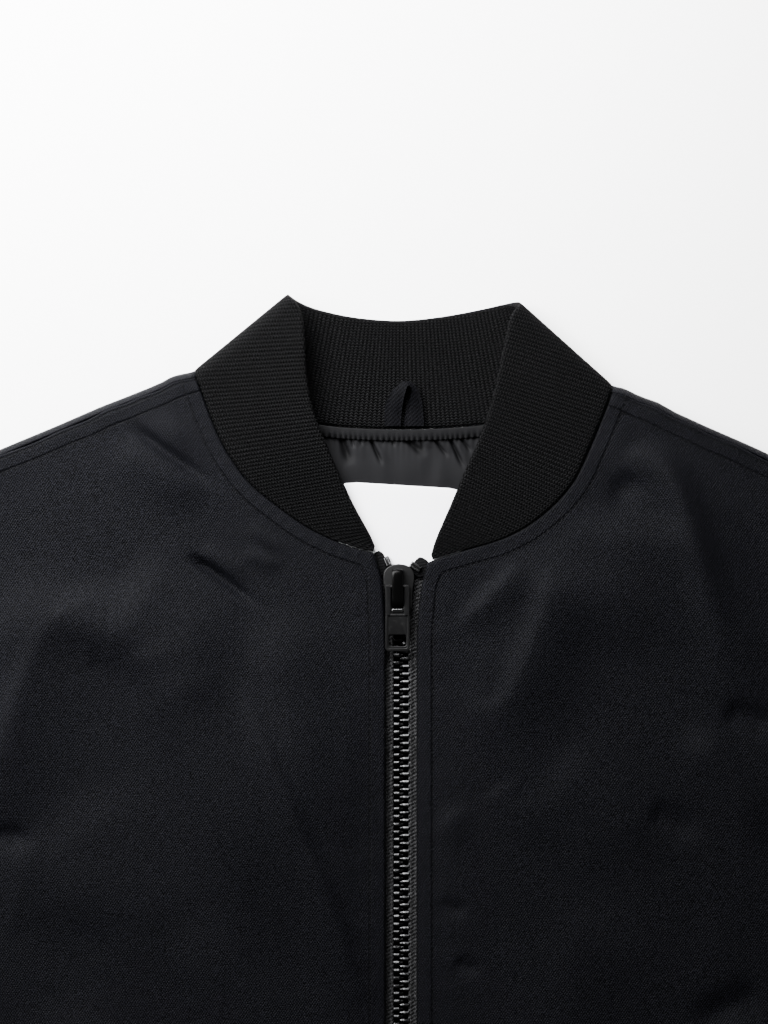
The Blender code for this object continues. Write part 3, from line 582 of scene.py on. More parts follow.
# %% Shell cloth with its topstitched lines pressed in
def shell_material():
    material, tree, shader = base_material("shell nylon twill", SHELL_COLOUR, 0.5, 0.02)
    weave = use(tree, GRAIN, **SHELL_GRAIN)
    shade = contrasted(tree, weave["Shade"], SHELL_CONTRAST)
    patch = use(tree, DYE, Patch_mm=45.0, Low=0.93, High=1.07)["Factor"]
    edge = stored(tree, "from_edge")
    shoulder = stored(tree, "from_shoulder")
    grooves = None
    for away, at in ((edge, TOPSTITCH), *((shoulder, row) for row in SHOULDER_ROWS)):
        line = use(tree, PRESSED, At_mm=at, Half_mm=GROOVE_HALF, Distance=away)["Mask"]
        grooves = line if grooves is None else maths(tree, "MAXIMUM", grooves, line)
    lift_ends = [TOPSTITCH + end for end in LIFT_ENDS]
    turned_in = ranged(tree, edge, *lift_ends, interpolation_type="SMOOTHSTEP")
    deep = maths(tree, "MULTIPLY", grooves, -GROOVE_DEEP)
    sewn_shape = maths(tree, "MULTIPLY_ADD", turned_in, HEM_LIFT, deep)
    # Painted shade: the colour is darkened at the very rim and in the pressed grooves.
    rim = ranged(tree, edge, *RIM_WIDE, RIM_PAINTED_SHADE, 1.0)
    painted_groove_shade = maths(tree, "MULTIPLY_ADD", grooves, -GROOVE_PAINTED_SHADE, 1.0)
    tinted(tree, shader, SHELL_COLOUR, shade, patch, painted_groove_shade, rim)
    pressed = bumped(tree, shader, sewn_shape, 1.0)
    bumped(tree, shader, weave["Height"], SHELL_BUMP, pressed)
    return material


shell = shell_material()
print(shell.name, "with", 1 + len(SHOULDER_ROWS), "pressed lines")

# %% Rib knit
RIB_COLOUR = (0.0021, 0.0021, 0.00221)
STITCH_HIGH = 1.35
KNIT_CONTRAST = 2.4
KNIT_BUMP = 0.28
PAINTED_VALLEY_LEVEL = 0.28


def rib_knit_material():
    material, tree, shader = base_material("rib knit", RIB_COLOUR, 0.6, 0.008)
    stitches = use(tree, KNIT, Stitch_mm=STITCH_HIGH)
    shade = contrasted(tree, stitches["Shade"], KNIT_CONTRAST)
    patch = use(tree, DYE, Low=0.9, High=1.1)["Factor"]
    # Painted shade: the colour is darkened in the valleys between the ribs.
    crown = maths(tree, "ADD", stored(tree, "rib_crown"), PAINTED_VALLEY_LEVEL)
    tinted(tree, shader, RIB_COLOUR, shade, patch, crown)
    bumped(tree, shader, stitches["Height"], KNIT_BUMP)
    return material


rib_knit = rib_knit_material()
print(rib_knit.name, "with a stitch each", STITCH_HIGH, "mm")

# %% [markdown]
# ### Metals
#
# Every metal part of the zip is nearly black. The teeth and stops are plated, so they
# are true metals that shine in points. The slider and the tab are painted, which is no
# metal to the light. Where the paint is scuffed, it is paler and a little rougher.

# %% Metals
WORN_ROUGHER = 0.15


def metal(name, colour, worn, roughness, specular, mark, amount, metallic=0.0):
    """A dark metal or paint with paler marks, whose size is given in millimetres."""
    material, tree, shader = base_material(name, colour, roughness, specular)
    mask = use(tree, SCUFFS, Mark_mm=mark, Amount=amount)["Mask"]
    mix = node(tree, "ShaderNodeMix", {"Factor": mask}, data_type="RGBA")
    mix.inputs["A"].default_value = (*colour, 1)
    mix.inputs["B"].default_value = (*worn, 1)
    tree.links.new(mix.outputs["Result"], shader.inputs["Base Color"])
    rough = maths(tree, "MULTIPLY_ADD", mask, WORN_ROUGHER, roughness)
    tree.links.new(rough, shader.inputs["Roughness"])
    shader.inputs["Metallic"].default_value = metallic
    print(name, "roughness", roughness)
    return material


tooth_metal = metal(
    "plated teeth",
    (0.011, 0.011, 0.0114),
    worn=(0.045, 0.045, 0.046),
    roughness=0.2,
    specular=0.5,
    mark=2.5,
    amount=0.3,
    metallic=1.0,
)
slider_satin = metal(
    "satin slider body",
    (0.0033, 0.0033, 0.0034),
    worn=(0.011, 0.011, 0.011),
    roughness=0.4,
    specular=0.1,
    mark=1.5,
    amount=0.16,
)
slider_paint = metal(
    "black slider paint",
    (0.0021, 0.0021, 0.0022),
    worn=(0.008, 0.008, 0.008),
    roughness=0.36,
    specular=0.08,
    mark=1.5,
    amount=0.2,
)
crown_gloss = metal(
    "glossy black crown",
    (0.0005, 0.0005, 0.0005),
    worn=(0.003, 0.003, 0.003),
    roughness=0.22,
    specular=0.03,
    mark=1.5,
    amount=0.1,
)
stop_metal = metal(
    "glossy black stops",
    (0.035, 0.035, 0.036),
    worn=(0.12, 0.12, 0.12),
    roughness=0.24,
    specular=0.5,
    mark=2.0,
    amount=0.2,
    metallic=1.0,
)

# %% [markdown]
# ### The surface under the vest
#
# A cut-out on white lies on nothing that can be seen. A plain pale plane, far larger
# than the picture, gives the same ground and catches the soft shadow at the edges.

# %% The pale surface
FLOOR_HALF = 3000.0
FLOOR_DROP = 0.2

floor_material, _, _ = base_material("pale surface", (0.92, 0.92, 0.92), 0.8, 0.2)
quarters = ((-1, -1), (1, -1), (1, 1), (-1, 1))
corners = [(x * FLOOR_HALF, y * FLOOR_HALF, -FLOOR_DROP) for x, y in quarters]
floor = piece("pale_surface", corners, [(0, 1, 2, 3)], floor_material, smooth=False)
told(floor)

# %% [markdown]
# ## The neckline
#
# The collar is one straight band of rib knit, sewn round the neckline. Laid flat, it
# folds once over each shoulder, so that its front lies on its back like a mitred ribbon.
# The two long edges of the band are given as they lie on the table. Points past a fold
# are first laid out flat, so that one smooth path runs along the whole edge. Any point
# of the flat band can then be turned back round the fold's half circle.

# %% Seam and edge of each half, from the zip to the shoulder fold
NECK_SEAM = {
    -1: table(
        "x y",
        (-13.4, 233.4),
        (-20.3, 234.9),
        (-32.7, 239.3),
        (-46.6, 246.4),
        (-60.0, 256.0),
        (-72.5, 266.5),
        (-82.5, 280.0),
        (-89.5, 294.0),
        (-96.2, 312.0),
        (-98.9, 321.0),
    ),
    1: table(
        "x y",
        (15.2, 229.6),
        (21.5, 231.6),
        (33.5, 235.2),
        (47.5, 239.2),
        (61.4, 246.2),
        (74.5, 257.0),
        (83.8, 268.6),
        (90.8, 284.0),
        (98.6, 302.8),
        (101.0, 314.1),
    ),
}
BAND_EDGE = {
    -1: table(
        "x y",
        (-12.6, 235.9),
        (-15.5, 242.5),
        (-22.6, 255.4),
        (-30.0, 271.5),
        (-36.6, 287.0),
        (-42.5, 303.0),
        (-45.3, 320.0),
        (-46.1, 336.0),
        (-48.6, 350.0),
        (-54.6, 357.2),
    ),
    1: table(
        "x y",
        (14.4, 231.8),
        (17.0, 240.0),
        (23.7, 255.5),
        (31.3, 273.5),
        (38.0, 289.0),
        (43.6, 306.0),
        (47.4, 323.0),
        (50.6, 338.0),
        (53.2, 347.5),
        (57.2, 353.3),
    ),
}
print("seam read at", [len(rows) for rows in NECK_SEAM.values()], "places in front")

# %% Seam and edge behind the neck
NECK_SEAM_BACK = table(
    "x y",
    (-76.0, 307.6),
    (-58.0, 300.0),
    (-39.8, 294.8),
    (-20.0, 293.0),
    (0.0, 292.5),
    (20.0, 293.0),
    (39.8, 294.6),
    (60.0, 298.0),
    (79.0, 303.8),
)
BAND_EDGE_BACK = table(
    "x y",
    (-46.6, 352.4),
    (-31.2, 347.9),
    (-15.8, 345.5),
    (0.0, 344.7),
    (15.0, 346.0),
    (30.2, 348.4),
    (47.0, 352.0),
)
print("seam read at", len(NECK_SEAM_BACK), "places behind")

# %% Which rib starts where on the seam, and where it ends on the free edge
RIB_RUN = table(
    "rib seam edge",
    (0, 0.0, 0.0),
    (7, 0.055, 0.0237),
    (11, 0.077, 0.0429),
    (17, 0.1042, 0.0706),
    (25, 0.1396, 0.1061),
    (33, 0.1725, 0.1407),
    (41, 0.2092, 0.1794),
    (49, 0.243, 0.2152),
    (55, 0.2696, 0.2456),
    (66, 0.3185, 0.3012),
    (90, 0.4225, 0.4305),
    (99, 0.4661, 0.471),
    (106.5, 0.5018, 0.5012),
    (115, 0.5414, 0.541),
    (121, 0.5678, 0.5665),
    (154, 0.7233, 0.7208),
    (162, 0.757, 0.7641),
    (169, 0.7859, 0.7975),
    (175.5, 0.815, 0.8278),
    (182, 0.8455, 0.8574),
    (189, 0.8737, 0.8854),
    (197, 0.9043, 0.9217),
    (204, 0.9338, 0.9534),
    (209, 0.9596, 0.9767),
    (216, 1.0, 1.0),
)
print("band followed at", len(RIB_RUN), "of its ribs")

# %% How far the front of the band stands up along its free edge
BAND_LIFT = table(
    "seam high",
    (0.0, 0.0),
    (0.1, 0.6),
    (0.2, 2.6),
    (0.29, 3.4),
    (0.36, 0.0),
    (0.64, 0.0),
    (0.71, 1.6),
    (0.8, 1.2),
    (0.9, 0.4),
    (1.0, 0.0),
)


def points_of(rows):
    return [np.array((row["x"], row["y"]), float) for row in rows]


print("band stands up to", max(row["high"] for row in BAND_LIFT), "mm")


# %% A smooth path
class Path:
    """A smooth path through a few points, read by its share of the length."""

    STEPS = 16

    def __init__(self, points, smooth=True):
        points = np.array(points, float)
        self.points = self.rounded(points) if smooth else points
        steps = np.linalg.norm(np.diff(self.points, axis=0), axis=1)
        self.run = np.concatenate(([0.0], np.cumsum(steps)))
        self.length = self.run[-1]

    def rounded(self, points):
        ends = np.vstack((2 * points[0] - points[1], points, 2 * points[-1] - points[-2]))
        made = []
        for before, here, there, after in zip(ends, ends[1:], ends[2:], ends[3:]):
            for step in range(self.STEPS):
                t = step / self.STEPS
                made.append(
                    here
                    + 0.5 * t * (there - before)
                    + 0.5 * t * t * (2 * before - 5 * here + 4 * there - after)
                    + 0.5 * t**3 * (3 * here - before - 3 * there + after)
                )
        return np.array(made + [points[-1]])

    def at(self, share):
        place = share * self.length
        return np.array([np.interp(place, self.run, axis) for axis in self.points.T])

    def heading(self, share, step=0.002):
        ahead = self.at(min(share + step, 1.0)) - self.at(max(share - step, 0.0))
        return ahead / np.linalg.norm(ahead)

    def near(self, spots):
        """For many points: distance to the path, length along it, and the nearest place."""
        far = np.full(len(spots), np.inf)
        along = np.zeros(len(spots))
        nearest = np.zeros((len(spots), 2))
        for start, end, run in zip(self.points, self.points[1:], self.run):
            step = end - start
            length = max(np.linalg.norm(step), 1e-9)
            share = np.clip((spots - start) @ step / length**2, 0, 1)
            place = start + share[:, None] * step
            distance = np.linalg.norm(place - spots, axis=1)
            closer = distance < far
            far[closer] = distance[closer]
            along[closer] = run + share[closer] * length
            nearest[closer] = place[closer]
        return far, along, nearest


# %% A flat fold
FOLD_R = 6.3


class Fold:
    """A straight fold of the band, given by its outline seen from above."""

    def __init__(self, low, high, side):
        self.along = (high - low) / np.linalg.norm(high - low)
        self.out = side * np.array((self.along[1], -self.along[0]))
        self.foot = low - FOLD_R * self.out

    def parts(self, point):
        return (point - self.foot) @ self.along, (point - self.foot) @ self.out

    def unfold(self, point):
        along, out = self.parts(point)
        turn = pi - asin(min(max(out, 0.0) / FOLD_R, 1.0))
        past = pi * FOLD_R - out if out <= 0 else FOLD_R * turn
        return self.foot + along * self.along + past * self.out

    def place(self, point):
        """The skin's place and outward direction for a point of the flat band."""
        along, past = self.parts(point)
        turn = min(max(past / FOLD_R, 0.0), pi)
        out = past if past < 0 else FOLD_R * sin(turn) - max(past - pi * FOLD_R, 0.0)
        flat = self.foot + along * self.along + out * self.out
        place = np.array((flat[0], flat[1], FOLD_R * (1 - cos(turn))))
        return place, np.array((*(self.out * sin(turn)), -cos(turn)))


FOLDS = {
    side: Fold(points_of(NECK_SEAM[side])[-1], points_of(BAND_EDGE[side])[-1], side)
    for side in (-1, 1)
}
print("folds", FOLD_R, "mm round at the shoulders")


# %% The band laid out flat
def flat_band_path(front, back):
    left = [FOLDS[-1].unfold(point) for point in points_of(front[-1])]
    right = [FOLDS[1].unfold(point) for point in points_of(front[1])]
    return Path(left + points_of(back) + right[::-1])


def folded(point):
    """A point of the flat band, turned back over the nearer fold."""
    side = -1 if FOLDS[-1].parts(point)[1] > FOLDS[1].parts(point)[1] else 1
    return FOLDS[side].place(point)


SEAM = flat_band_path(NECK_SEAM, NECK_SEAM_BACK)
EDGE = flat_band_path(BAND_EDGE, BAND_EDGE_BACK)
print("neck seam", round(SEAM.length), "mm, free edge", round(EDGE.length), "mm")

# %% [markdown]
# ## The rib-knit collar
#
# A 1x1 rib has about one rib each 2 mm here, which makes 216 ribs round the neck. The
# band itself is an even wall with a mesh fine enough for six points across each rib.
# The ribs follow a rule, so Geometry Nodes raises them: each point moves out along its
# normal by a rounded wave of its place in the rib. The wave fades where the band is
# sewn in, over its free edge, and where it rests on the table. The same wave is kept as
# an attribute, which lets the material paint shade into the valleys.

# %% Sizes of the band
RIBS = 216
RIB_STEPS = 6
RIB_HIGH = 0.42
BAND_WALL = 3.2
BAND_ROWS = 26
EDGE_ROUND = 1.6
EDGE_THINNER = 0.85
SEAM_CALM = 2.5
EDGE_CALM = 1.2
print(RIBS, "ribs,", round(SEAM.length / RIBS, 2), "mm each at the seam")


# %% Trees that change a mesh
def geometry_tree(name, *inputs):
    """A tree with a mesh going in and coming out, and its named sizes."""
    taken = [("Geometry", GEOMETRY, None), *inputs, ("Material", MATERIAL, None)]
    return group_of("GeometryNodeTree", name, taken, [("Geometry", GEOMETRY)])


def closed(tree, geometry, given, out):
    """The end of every tree: instances are made real, and then painted."""
    real = node(tree, "GeometryNodeRealizeInstances", {"Geometry": geometry}).outputs[0]
    inputs = {"Geometry": real, "Material": given["Material"]}
    painted = node(tree, "GeometryNodeSetMaterial", inputs).outputs[0]
    tree.links.new(painted, out["Geometry"])
    return tree


def run_tree(obj, tree, **values):
    """Adds a tree with its inputs set by identifier, and applies it."""
    change = obj.modifiers.new(tree.name, "NODES")
    change.node_group = tree
    for socket in tree.interface.items_tree:
        label = socket.name.replace(" ", "_")
        if socket.in_out == "INPUT" and label in values:
            change[socket.identifier] = values[label]
    return applied(obj)


# %% The rule for ribs, as a tree
CROWN_FLAT = 0.8


def rib_tree():
    tree, given, out = geometry_tree("raised ribs", ("Height", FLOAT, 0.0005))
    place = node(tree, "GeometryNodeInputNamedAttribute", {"Name": "rib_place"}, data_type="FLOAT")
    mask = node(tree, "GeometryNodeInputNamedAttribute", {"Name": "rib_mask"}, data_type="FLOAT")
    turn = maths(tree, "MULTIPLY", place.outputs[0], pi)
    wave = maths(tree, "ABSOLUTE", maths(tree, "SINE", turn))
    crown = maths(tree, "POWER", wave, CROWN_FLAT)
    kept = node(
        tree,
        "GeometryNodeStoreNamedAttribute",
        {"Geometry": given["Geometry"], "Name": "rib_crown", "Value": crown},
        data_type="FLOAT",
        domain="POINT",
    )
    share = maths(tree, "MULTIPLY", crown, mask.outputs[0])
    high = maths(tree, "MULTIPLY", share, given["Height"])
    normal = node(tree, "GeometryNodeInputNormal").outputs[0]
    offset = scaled(tree, normal, high)
    moved = node(
        tree, "GeometryNodeSetPosition", {"Geometry": kept.outputs[0], "Offset": offset}
    )
    return closed(tree, moved.outputs[0], given, out)


RAISED_RIBS = rib_tree()
print("tree:", RAISED_RIBS.name)


# %% What a piece keeps at its points
def float_attribute(mesh, name, values):
    made = mesh.attributes.new(name, "FLOAT", "POINT")
    made.data.foreach_set("value", np.asarray(values, np.float32))


def band_map(mesh, across, along):
    """A UV map of ribs across and millimetres along each rib."""
    layer = mesh.uv_layers.new(name="band")
    corner = np.empty(len(mesh.loops), int)
    mesh.loops.foreach_get("vertex_index", corner)
    layer.data.foreach_set("uv", np.stack((across[corner], along[corner]), axis=1).ravel())


# %% Wall from a grid of skin points
def wall_points(grid, outward, thick):
    """Skin points, then inner points behind them."""
    inner = grid - thick[..., None] * outward
    return np.concatenate((grid.reshape(-1, 3), inner.reshape(-1, 3)))


def wall_faces(rows, columns):
    """Faces of the skin, the inner side and the rim of a closed wall."""
    count = rows * columns
    faces = []
    for row in range(rows - 1):
        for column in range(columns - 1):
            a = row * columns + column
            face = (a, a + 1, a + columns + 1, a + columns)
            faces.append(face)
            faces.append(tuple(count + corner for corner in face[::-1]))
    rim = list(range(columns))
    rim += [row * columns + columns - 1 for row in range(1, rows)]
    rim += [(rows - 1) * columns + column for column in range(columns - 2, -1, -1)]
    rim += [row * columns for row in range(rows - 2, 0, -1)]
    for start, end in zip(rim, rim[1:] + rim[:1]):
        faces.append((end, start, count + start, count + end))
    return faces


# %% Build the band
ROWS_TO_EDGE = 1.15


def collar():
    runs = {name: [row[name] for row in RIB_RUN] for name in ("rib", "seam", "edge")}
    lift_at = [row["seam"] for row in BAND_LIFT]
    lifts = [row["high"] for row in BAND_LIFT]
    columns = RIBS * RIB_STEPS + 1
    across_all = np.sin(np.linspace(0, pi / 2, BAND_ROWS)) ** ROWS_TO_EDGE
    across_all[-1] = 1.0
    half = 0.5 * BAND_WALL
    grid = np.zeros((columns, BAND_ROWS, 3))
    outward = np.zeros((columns, BAND_ROWS, 3))
    thick, mask, inner_mask, wide = np.zeros((4, columns, BAND_ROWS))
    for column in range(columns):
        share = np.interp(column / RIB_STEPS, runs["rib"], runs["seam"])
        start = SEAM.at(share)
        end = EDGE.at(np.interp(share, runs["seam"], runs["edge"]))
        lift = np.interp(share, lift_at, lifts)
        run = np.linalg.norm(end - start)
        for row, across in enumerate(across_all):
            place, out = folded(start + across * (end - start))
            on_top = 0.5 * (1 + out[2])
            to_edge = (1 - across) * run
            tuck = 1 - np.sqrt(max(1 - max(1 - to_edge / EDGE_ROUND, 0.0) ** 2, 0.0))
            middle = place - half * out
            middle[2] += lift * across**2 * on_top
            thinner = half * (1 - EDGE_THINNER * tuck)
            grid[column, row] = middle + thinner * out
            if on_top < 0.5:
                grid[column, row] = middle + half * out
                thinner = 0.5 * (half + thinner)
            outward[column, row] = out
            thick[column, row] = 2 * thinner
            sewn_in = smoothstep(across * run / SEAM_CALM)
            fade = sewn_in * (0.15 + 0.85 * smoothstep(to_edge / EDGE_CALM))
            mask[column, row] = fade * on_top
            inner_mask[column, row] = fade * (1 - on_top)
            wide[column, row] = across * run
    faces = wall_faces(columns, BAND_ROWS)
    obj = piece("ribbed_collar", wall_points(grid, outward, thick), faces, rib_knit)
    place = np.tile(np.repeat(np.linspace(0, RIBS, columns), BAND_ROWS), 2)
    float_attribute(obj.data, "rib_place", place)
    float_attribute(obj.data, "rib_mask", np.concatenate((mask.ravel(), inner_mask.ravel())))
    band_map(obj.data, place, np.tile(wide.ravel(), 2))
    return run_tree(obj, RAISED_RIBS, Height=RIB_HIGH * MM, Material=rib_knit)


ribbed_collar = collar()
told(ribbed_collar)

# %% [markdown]
# ## The shell panels
#
# Each panel starts as a copy of its solid. The copy's loose triangles are merged back
# into the quads that they came from, sharp rims are creased, and a subdivision surface
# rounds the rest. The upper side is split once more, because the narrowest creases are
# only a few millimetres wide. Distances from the seams are kept as attributes, so that
# the material can press the topstitched lines in.
#
# A cloth simulation would make folds of its own, and not those of the photograph. So
# the folds are added as heights: a crease is a short smooth line with a height, and a
# trough is a crease with a height below zero. Padded cloth folds over unevenly. It is
# steep on one side, as wide as "wide" says, and runs out slowly on the other, as wide
# as "far" says. Both are measured from the line, and blend into each other at its ends.
# Beyond the photograph's edge the folds are the quiet ones that any padded garment has.

# %% Lines that the panels end at
ZIP_EDGE = {
    -1: table("x y", (-7.4, -357), (-7.4, 196.0), (-8.7, 219.8), (-11.6, 229.0)),
    1: table("x y", (7.4, -357), (7.4, 196.0), (9.6, 218.5), (12.6, 226.2)),
}
HEM_Y = -357.0
SHOULDER_SLOPE = {-1: radians(22.5), 1: radians(24.4)}
SHOULDER_HALF = 247.0
SHOULDER_SEAM = 3.15


def zip_edge(side):
    """The front edge of one side, from the hem to the neck."""
    return Path(points_of(ZIP_EDGE[side]), smooth=False)


def neck_line(side, away=0.0):
    """The neck seam of one front, seen from above, or a line beside it."""
    shares = np.linspace(0, 0.34, 90) if side < 0 else np.linspace(1, 0.66, 90)
    points = []
    for share in shares:
        heading = SEAM.heading(share)
        place, out = folded(SEAM.at(share) + away * np.array((heading[1], -heading[0])))
        if out[2] > -0.1:
            points.append(place[:2])
    return Path(points, smooth=False)


class Shoulder:
    """The line of one shoulder's fold, and places beside it."""

    def __init__(self, side):
        neck = points_of(NECK_SEAM[side])[-1]
        slope = SHOULDER_SLOPE[side]
        self.along = np.array((side * cos(slope), -sin(slope)))
        self.out = np.array((side * sin(slope), cos(slope)))
        self.start = neck - FOLD_R * self.out
        self.length = (SHOULDER_HALF - abs(neck[0])) / cos(slope)

    def parts(self, spots):
        return (spots - self.start) @ self.along, (spots - self.start) @ self.out


SHOULDERS = {side: Shoulder(side) for side in (-1, 1)}
print("shoulders", [round(shoulder.length) for shoulder in SHOULDERS.values()], "mm")


# %% Creases and troughs of the fronts
CREASES = {
    -1: table(
        "line wide far high",
        ([(-134, 298), (-119, 286), (-103.7, 275), (-84, 262)], 2.4, 2.4, -1.8),
        ([(-132, 308), (-116, 296), (-100, 284), (-90, 275)], 6.0, 8.0, 1.1),
        ([(-136, 288), (-122, 277), (-108, 267), (-92, 258)], 5.0, 12.0, 0.9),
        ([(-104, 233), (-92, 225), (-81, 217), (-66, 205)], 2.2, 2.6, -2.4),
        ([(-96, 236), (-84, 228), (-72, 219)], 4.0, 4.0, 0.7),
        ([(-138, 220), (-114, 205), (-96, 193), (-70, 176)], 9.0, 42.0, 2.3),
        ([(-206, 90), (-188, 148), (-179, 174), (-168, 196), (-152, 209)], 6.0, 24.0, 2.6),
        ([(-172, 196), (-156, 206), (-143, 207), (-130, 198), (-114, 172)], 6.0, 26.0, 1.5),
        ([(-80, 178), (-62, 131), (-50, 101), (-36, 68), (-24, 34), (-18, 4)], 2.4, 6.0, 1.5),
        ([(-125, 205), (-106, 154), (-88, 112), (-72, 66), (-60, 20)], 9.0, 34.0, 3.4),
        ([(-68, 208), (-56, 170), (-46, 130), (-38, 84)], 8.0, 30.0, 2.3),
        ([(-76, 234), (-66, 229), (-54, 226)], 3.4, 4.0, 0.7),
        ([(-74, 246), (-62, 238), (-54, 231)], 3.0, 4.0, 0.6),
        ([(-200, 97), (-186, 97), (-174, 92)], 4.0, 7.0, -1.2),
        ([(-196, 84), (-178, 82), (-160, 68), (-148, 40)], 10.0, 30.0, 1.5),
        ([(-156, 120), (-134, 78), (-118, 20)], 12.0, 34.0, 1.3),
        ([(-110, 60), (-88, 10), (-80, -60)], 12.0, 30.0, 1.0),
        ([(-170, 20), (-140, -30), (-130, -90)], 14.0, 18.0, 1.3),
        ([(-52, -60), (-60, -130), (-50, -200)], 14.0, 18.0, 1.2),
        ([(-150, -180), (-120, -240), (-130, -300)], 16.0, 18.0, 1.5),
    ),
    1: table(
        "line wide far high",
        (
            [(101, 268), (110, 277), (122, 278), (132, 264)]
            + [(140, 238), (148, 210), (156, 187), (170, 168)],
            4.6,
            10.0,
            2.2,
        ),
        ([(60, 230), (50, 219), (40, 209), (24, 192)], 4.0, 10.0, 1.6),
        ([(76, 234), (71, 209), (62, 184), (54, 165), (42, 156), (22, 156)], 5.6, 24.0, 2.3),
        ([(112, 256), (108, 232), (102, 206), (92, 180)], 22.0, 36.0, 2.2),
        ([(114, 270), (106, 263), (98, 259)], 6.0, 7.0, -1.2),
        ([(108, 296), (100, 285), (95, 273)], 4.0, 6.0, 1.0),
        ([(118, 110), (132, 104), (144, 94)], 5.0, 8.0, -1.1),
        ([(154, 159), (168, 154), (186, 148)], 4.5, 8.0, -1.4),
        ([(136, 150), (158, 124), (180, 86)], 4.4, 14.0, 1.8),
        ([(14, 92), (24, 104), (36, 112)], 4.0, 9.0, 0.8),
        ([(18, 66), (26, 62), (34, 64)], 3.4, 4.0, -0.7),
        ([(26, 38), (32, 34), (40, 34)], 3.6, 4.0, -0.8),
        ([(44, 122), (54, 110), (68, 112)], 5.0, 12.0, 0.6),
        ([(70, 134), (94, 112), (118, 74)], 12.0, 34.0, 1.1),
        ([(176, 22), (154, 12), (136, 2)], 9.0, 14.0, -2.4),
        ([(96, 70), (80, 20), (88, -40)], 12.0, 30.0, 0.9),
        ([(180, 30), (150, -20), (140, -90)], 14.0, 18.0, 1.3),
        ([(58, -80), (50, -150), (62, -210)], 14.0, 18.0, 1.2),
        ([(150, -180), (130, -250), (120, -300)], 16.0, 18.0, 1.5),
    ),
}
print("creases:", {side: len(rows) for side, rows in CREASES.items()})

# %% Puffs between the pulls of the shoulder seams
SHOULDER_PUFFS = {
    -1: table(
        "along wide high",
        (12, 7, 1.6),
        (29, 8, 1.1),
        (46, 9, 1.5),
        (70, 12, 0.9),
        (104, 14, 1.0),
    ),
    1: table(
        "along wide high",
        (8, 6, 1.0),
        (24, 9, 1.6),
        (43, 8, 1.0),
        (66, 12, 1.2),
        (98, 14, 0.9),
    ),
}


def shoulder_puffs(side, along):
    """How far the panel swells out over its shoulder, at places along it."""
    total = np.zeros(len(along))
    for row in SHOULDER_PUFFS[side]:
        total += row["high"] * np.exp(-(((along - row["along"]) / row["wide"]) ** 2))
    ends = smoothstep(along / 6) * smoothstep((SHOULDERS[side].length - along) / 12)
    return total * ends


print("puffs:", {side: len(rows) for side, rows in SHOULDER_PUFFS.items()})


# %% Heights of the folds
FOLD_STRENGTH = 1.45
LIGHT_FROM = np.array((-0.6, 0.8))
FADE_IN = 0.25
FADE_OUT = 0.45


def crease_heights(side, spots):
    """Each fold is steeper on the side that faces the light than on its far side."""
    total = np.zeros(len(spots))
    for row in CREASES[side]:
        line = Path(row["line"])
        away, along, nearest = line.near(spots)
        share = along / line.length
        fade = smoothstep(share / FADE_IN) * smoothstep((1 - share) / FADE_OUT)
        facing = ((spots - nearest) @ LIGHT_FROM) / np.maximum(away, 0.01)
        wide = row["far"] + (row["wide"] - row["far"]) * 0.5 * (1 + facing)
        total += FOLD_STRENGTH * row["high"] * fade * np.exp(-((away / wide) ** 2))
    return total


def quiet_wrinkles(spots, seed):
    """Low, wide unevenness of padding under cloth."""
    made = []
    for x, y in spots:
        broad = noise.noise(Vector((x / 62, y / 85, seed)))
        fine = noise.noise(Vector((x / 21, y / 30, seed + 7)))
        made.append(0.8 * broad + 0.2 * fine)
    return np.array(made)


# %% A solid's copy, merged and rounded
CREASE_ANGLE = radians(48)
CREASE_SHARP = 0.8
FLAT_JOIN = radians(30)
SHAPE_JOIN = radians(75)


def rounded_copy(source, name, levels, material):
    """A solid's own mesh as quads, rounded by a subdivision surface."""
    shape = bmesh.new()
    shape.from_mesh(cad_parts[source].data)
    bmesh.ops.remove_doubles(shape, verts=shape.verts, dist=0.01 * MM)
    bmesh.ops.join_triangles(
        shape,
        faces=shape.faces,
        angle_face_threshold=FLAT_JOIN,
        angle_shape_threshold=SHAPE_JOIN,
    )
    bmesh.ops.recalc_face_normals(shape, faces=shape.faces)
    crease = shape.edges.layers.float.new("crease_edge")
    for edge in shape.edges:
        if edge.calc_face_angle(0.0) > CREASE_ANGLE:
            edge[crease] = CREASE_SHARP
    mesh = bpy.data.meshes.new(name)
    shape.to_mesh(mesh)
    shape.free()
    mesh.shade_smooth()
    mesh.materials.append(material)
    obj = shown(name, mesh)
    rounding = obj.modifiers.new("rounding", "SUBSURF")
    rounding.levels = levels
    rounding.render_levels = levels
    return applied(obj)


# %% A finer mesh where narrow creases lie
UPPER_Z = 6.5
SHOWN_Y = -25.0
LONGEST_EDGE = 2.1
SPLITS = 3


def finer(obj):
    """Splits the long edges of the upper side, where the picture is."""
    shape = bmesh.new()
    shape.from_mesh(obj.data)
    for _ in range(SPLITS):
        long_edges = []
        for edge in shape.edges:
            middle = 0.5 * (edge.verts[0].co + edge.verts[1].co) / MM
            shows = middle.z > UPPER_Z and middle.y > SHOWN_Y
            if shows and edge.calc_length() > LONGEST_EDGE * MM:
                long_edges.append(edge)
        bmesh.ops.subdivide_edges(shape, edges=long_edges, cuts=1)
        odd = [face for face in shape.faces if len(face.verts) > 4]
        bmesh.ops.triangulate(shape, faces=odd)
    shape.to_mesh(obj.data)
    shape.free()
    obj.data.shade_smooth()
    return obj


# %% Ripples beside the seams
NECK_RIPPLE = 0.12
NECK_RIPPLE_AT = (5.0, 3.4)
ZIP_RIPPLE = 0.09
ZIP_RIPPLE_AT = (11.0, 6.0)


def near_line(away, at):
    """Full at a distance from a line, fading over a width to both sides."""
    middle, wide = at
    return np.exp(-(((away - middle) / wide) ** 2))


def neck_ripples(from_neck, along):
    """Short gathers, where the panel is eased onto the rib band."""
    wave = np.sin(along * 2 * pi / 6.3 + 1.2 * np.sin(along / 9.0))
    return NECK_RIPPLE * near_line(from_neck, NECK_RIPPLE_AT) * wave


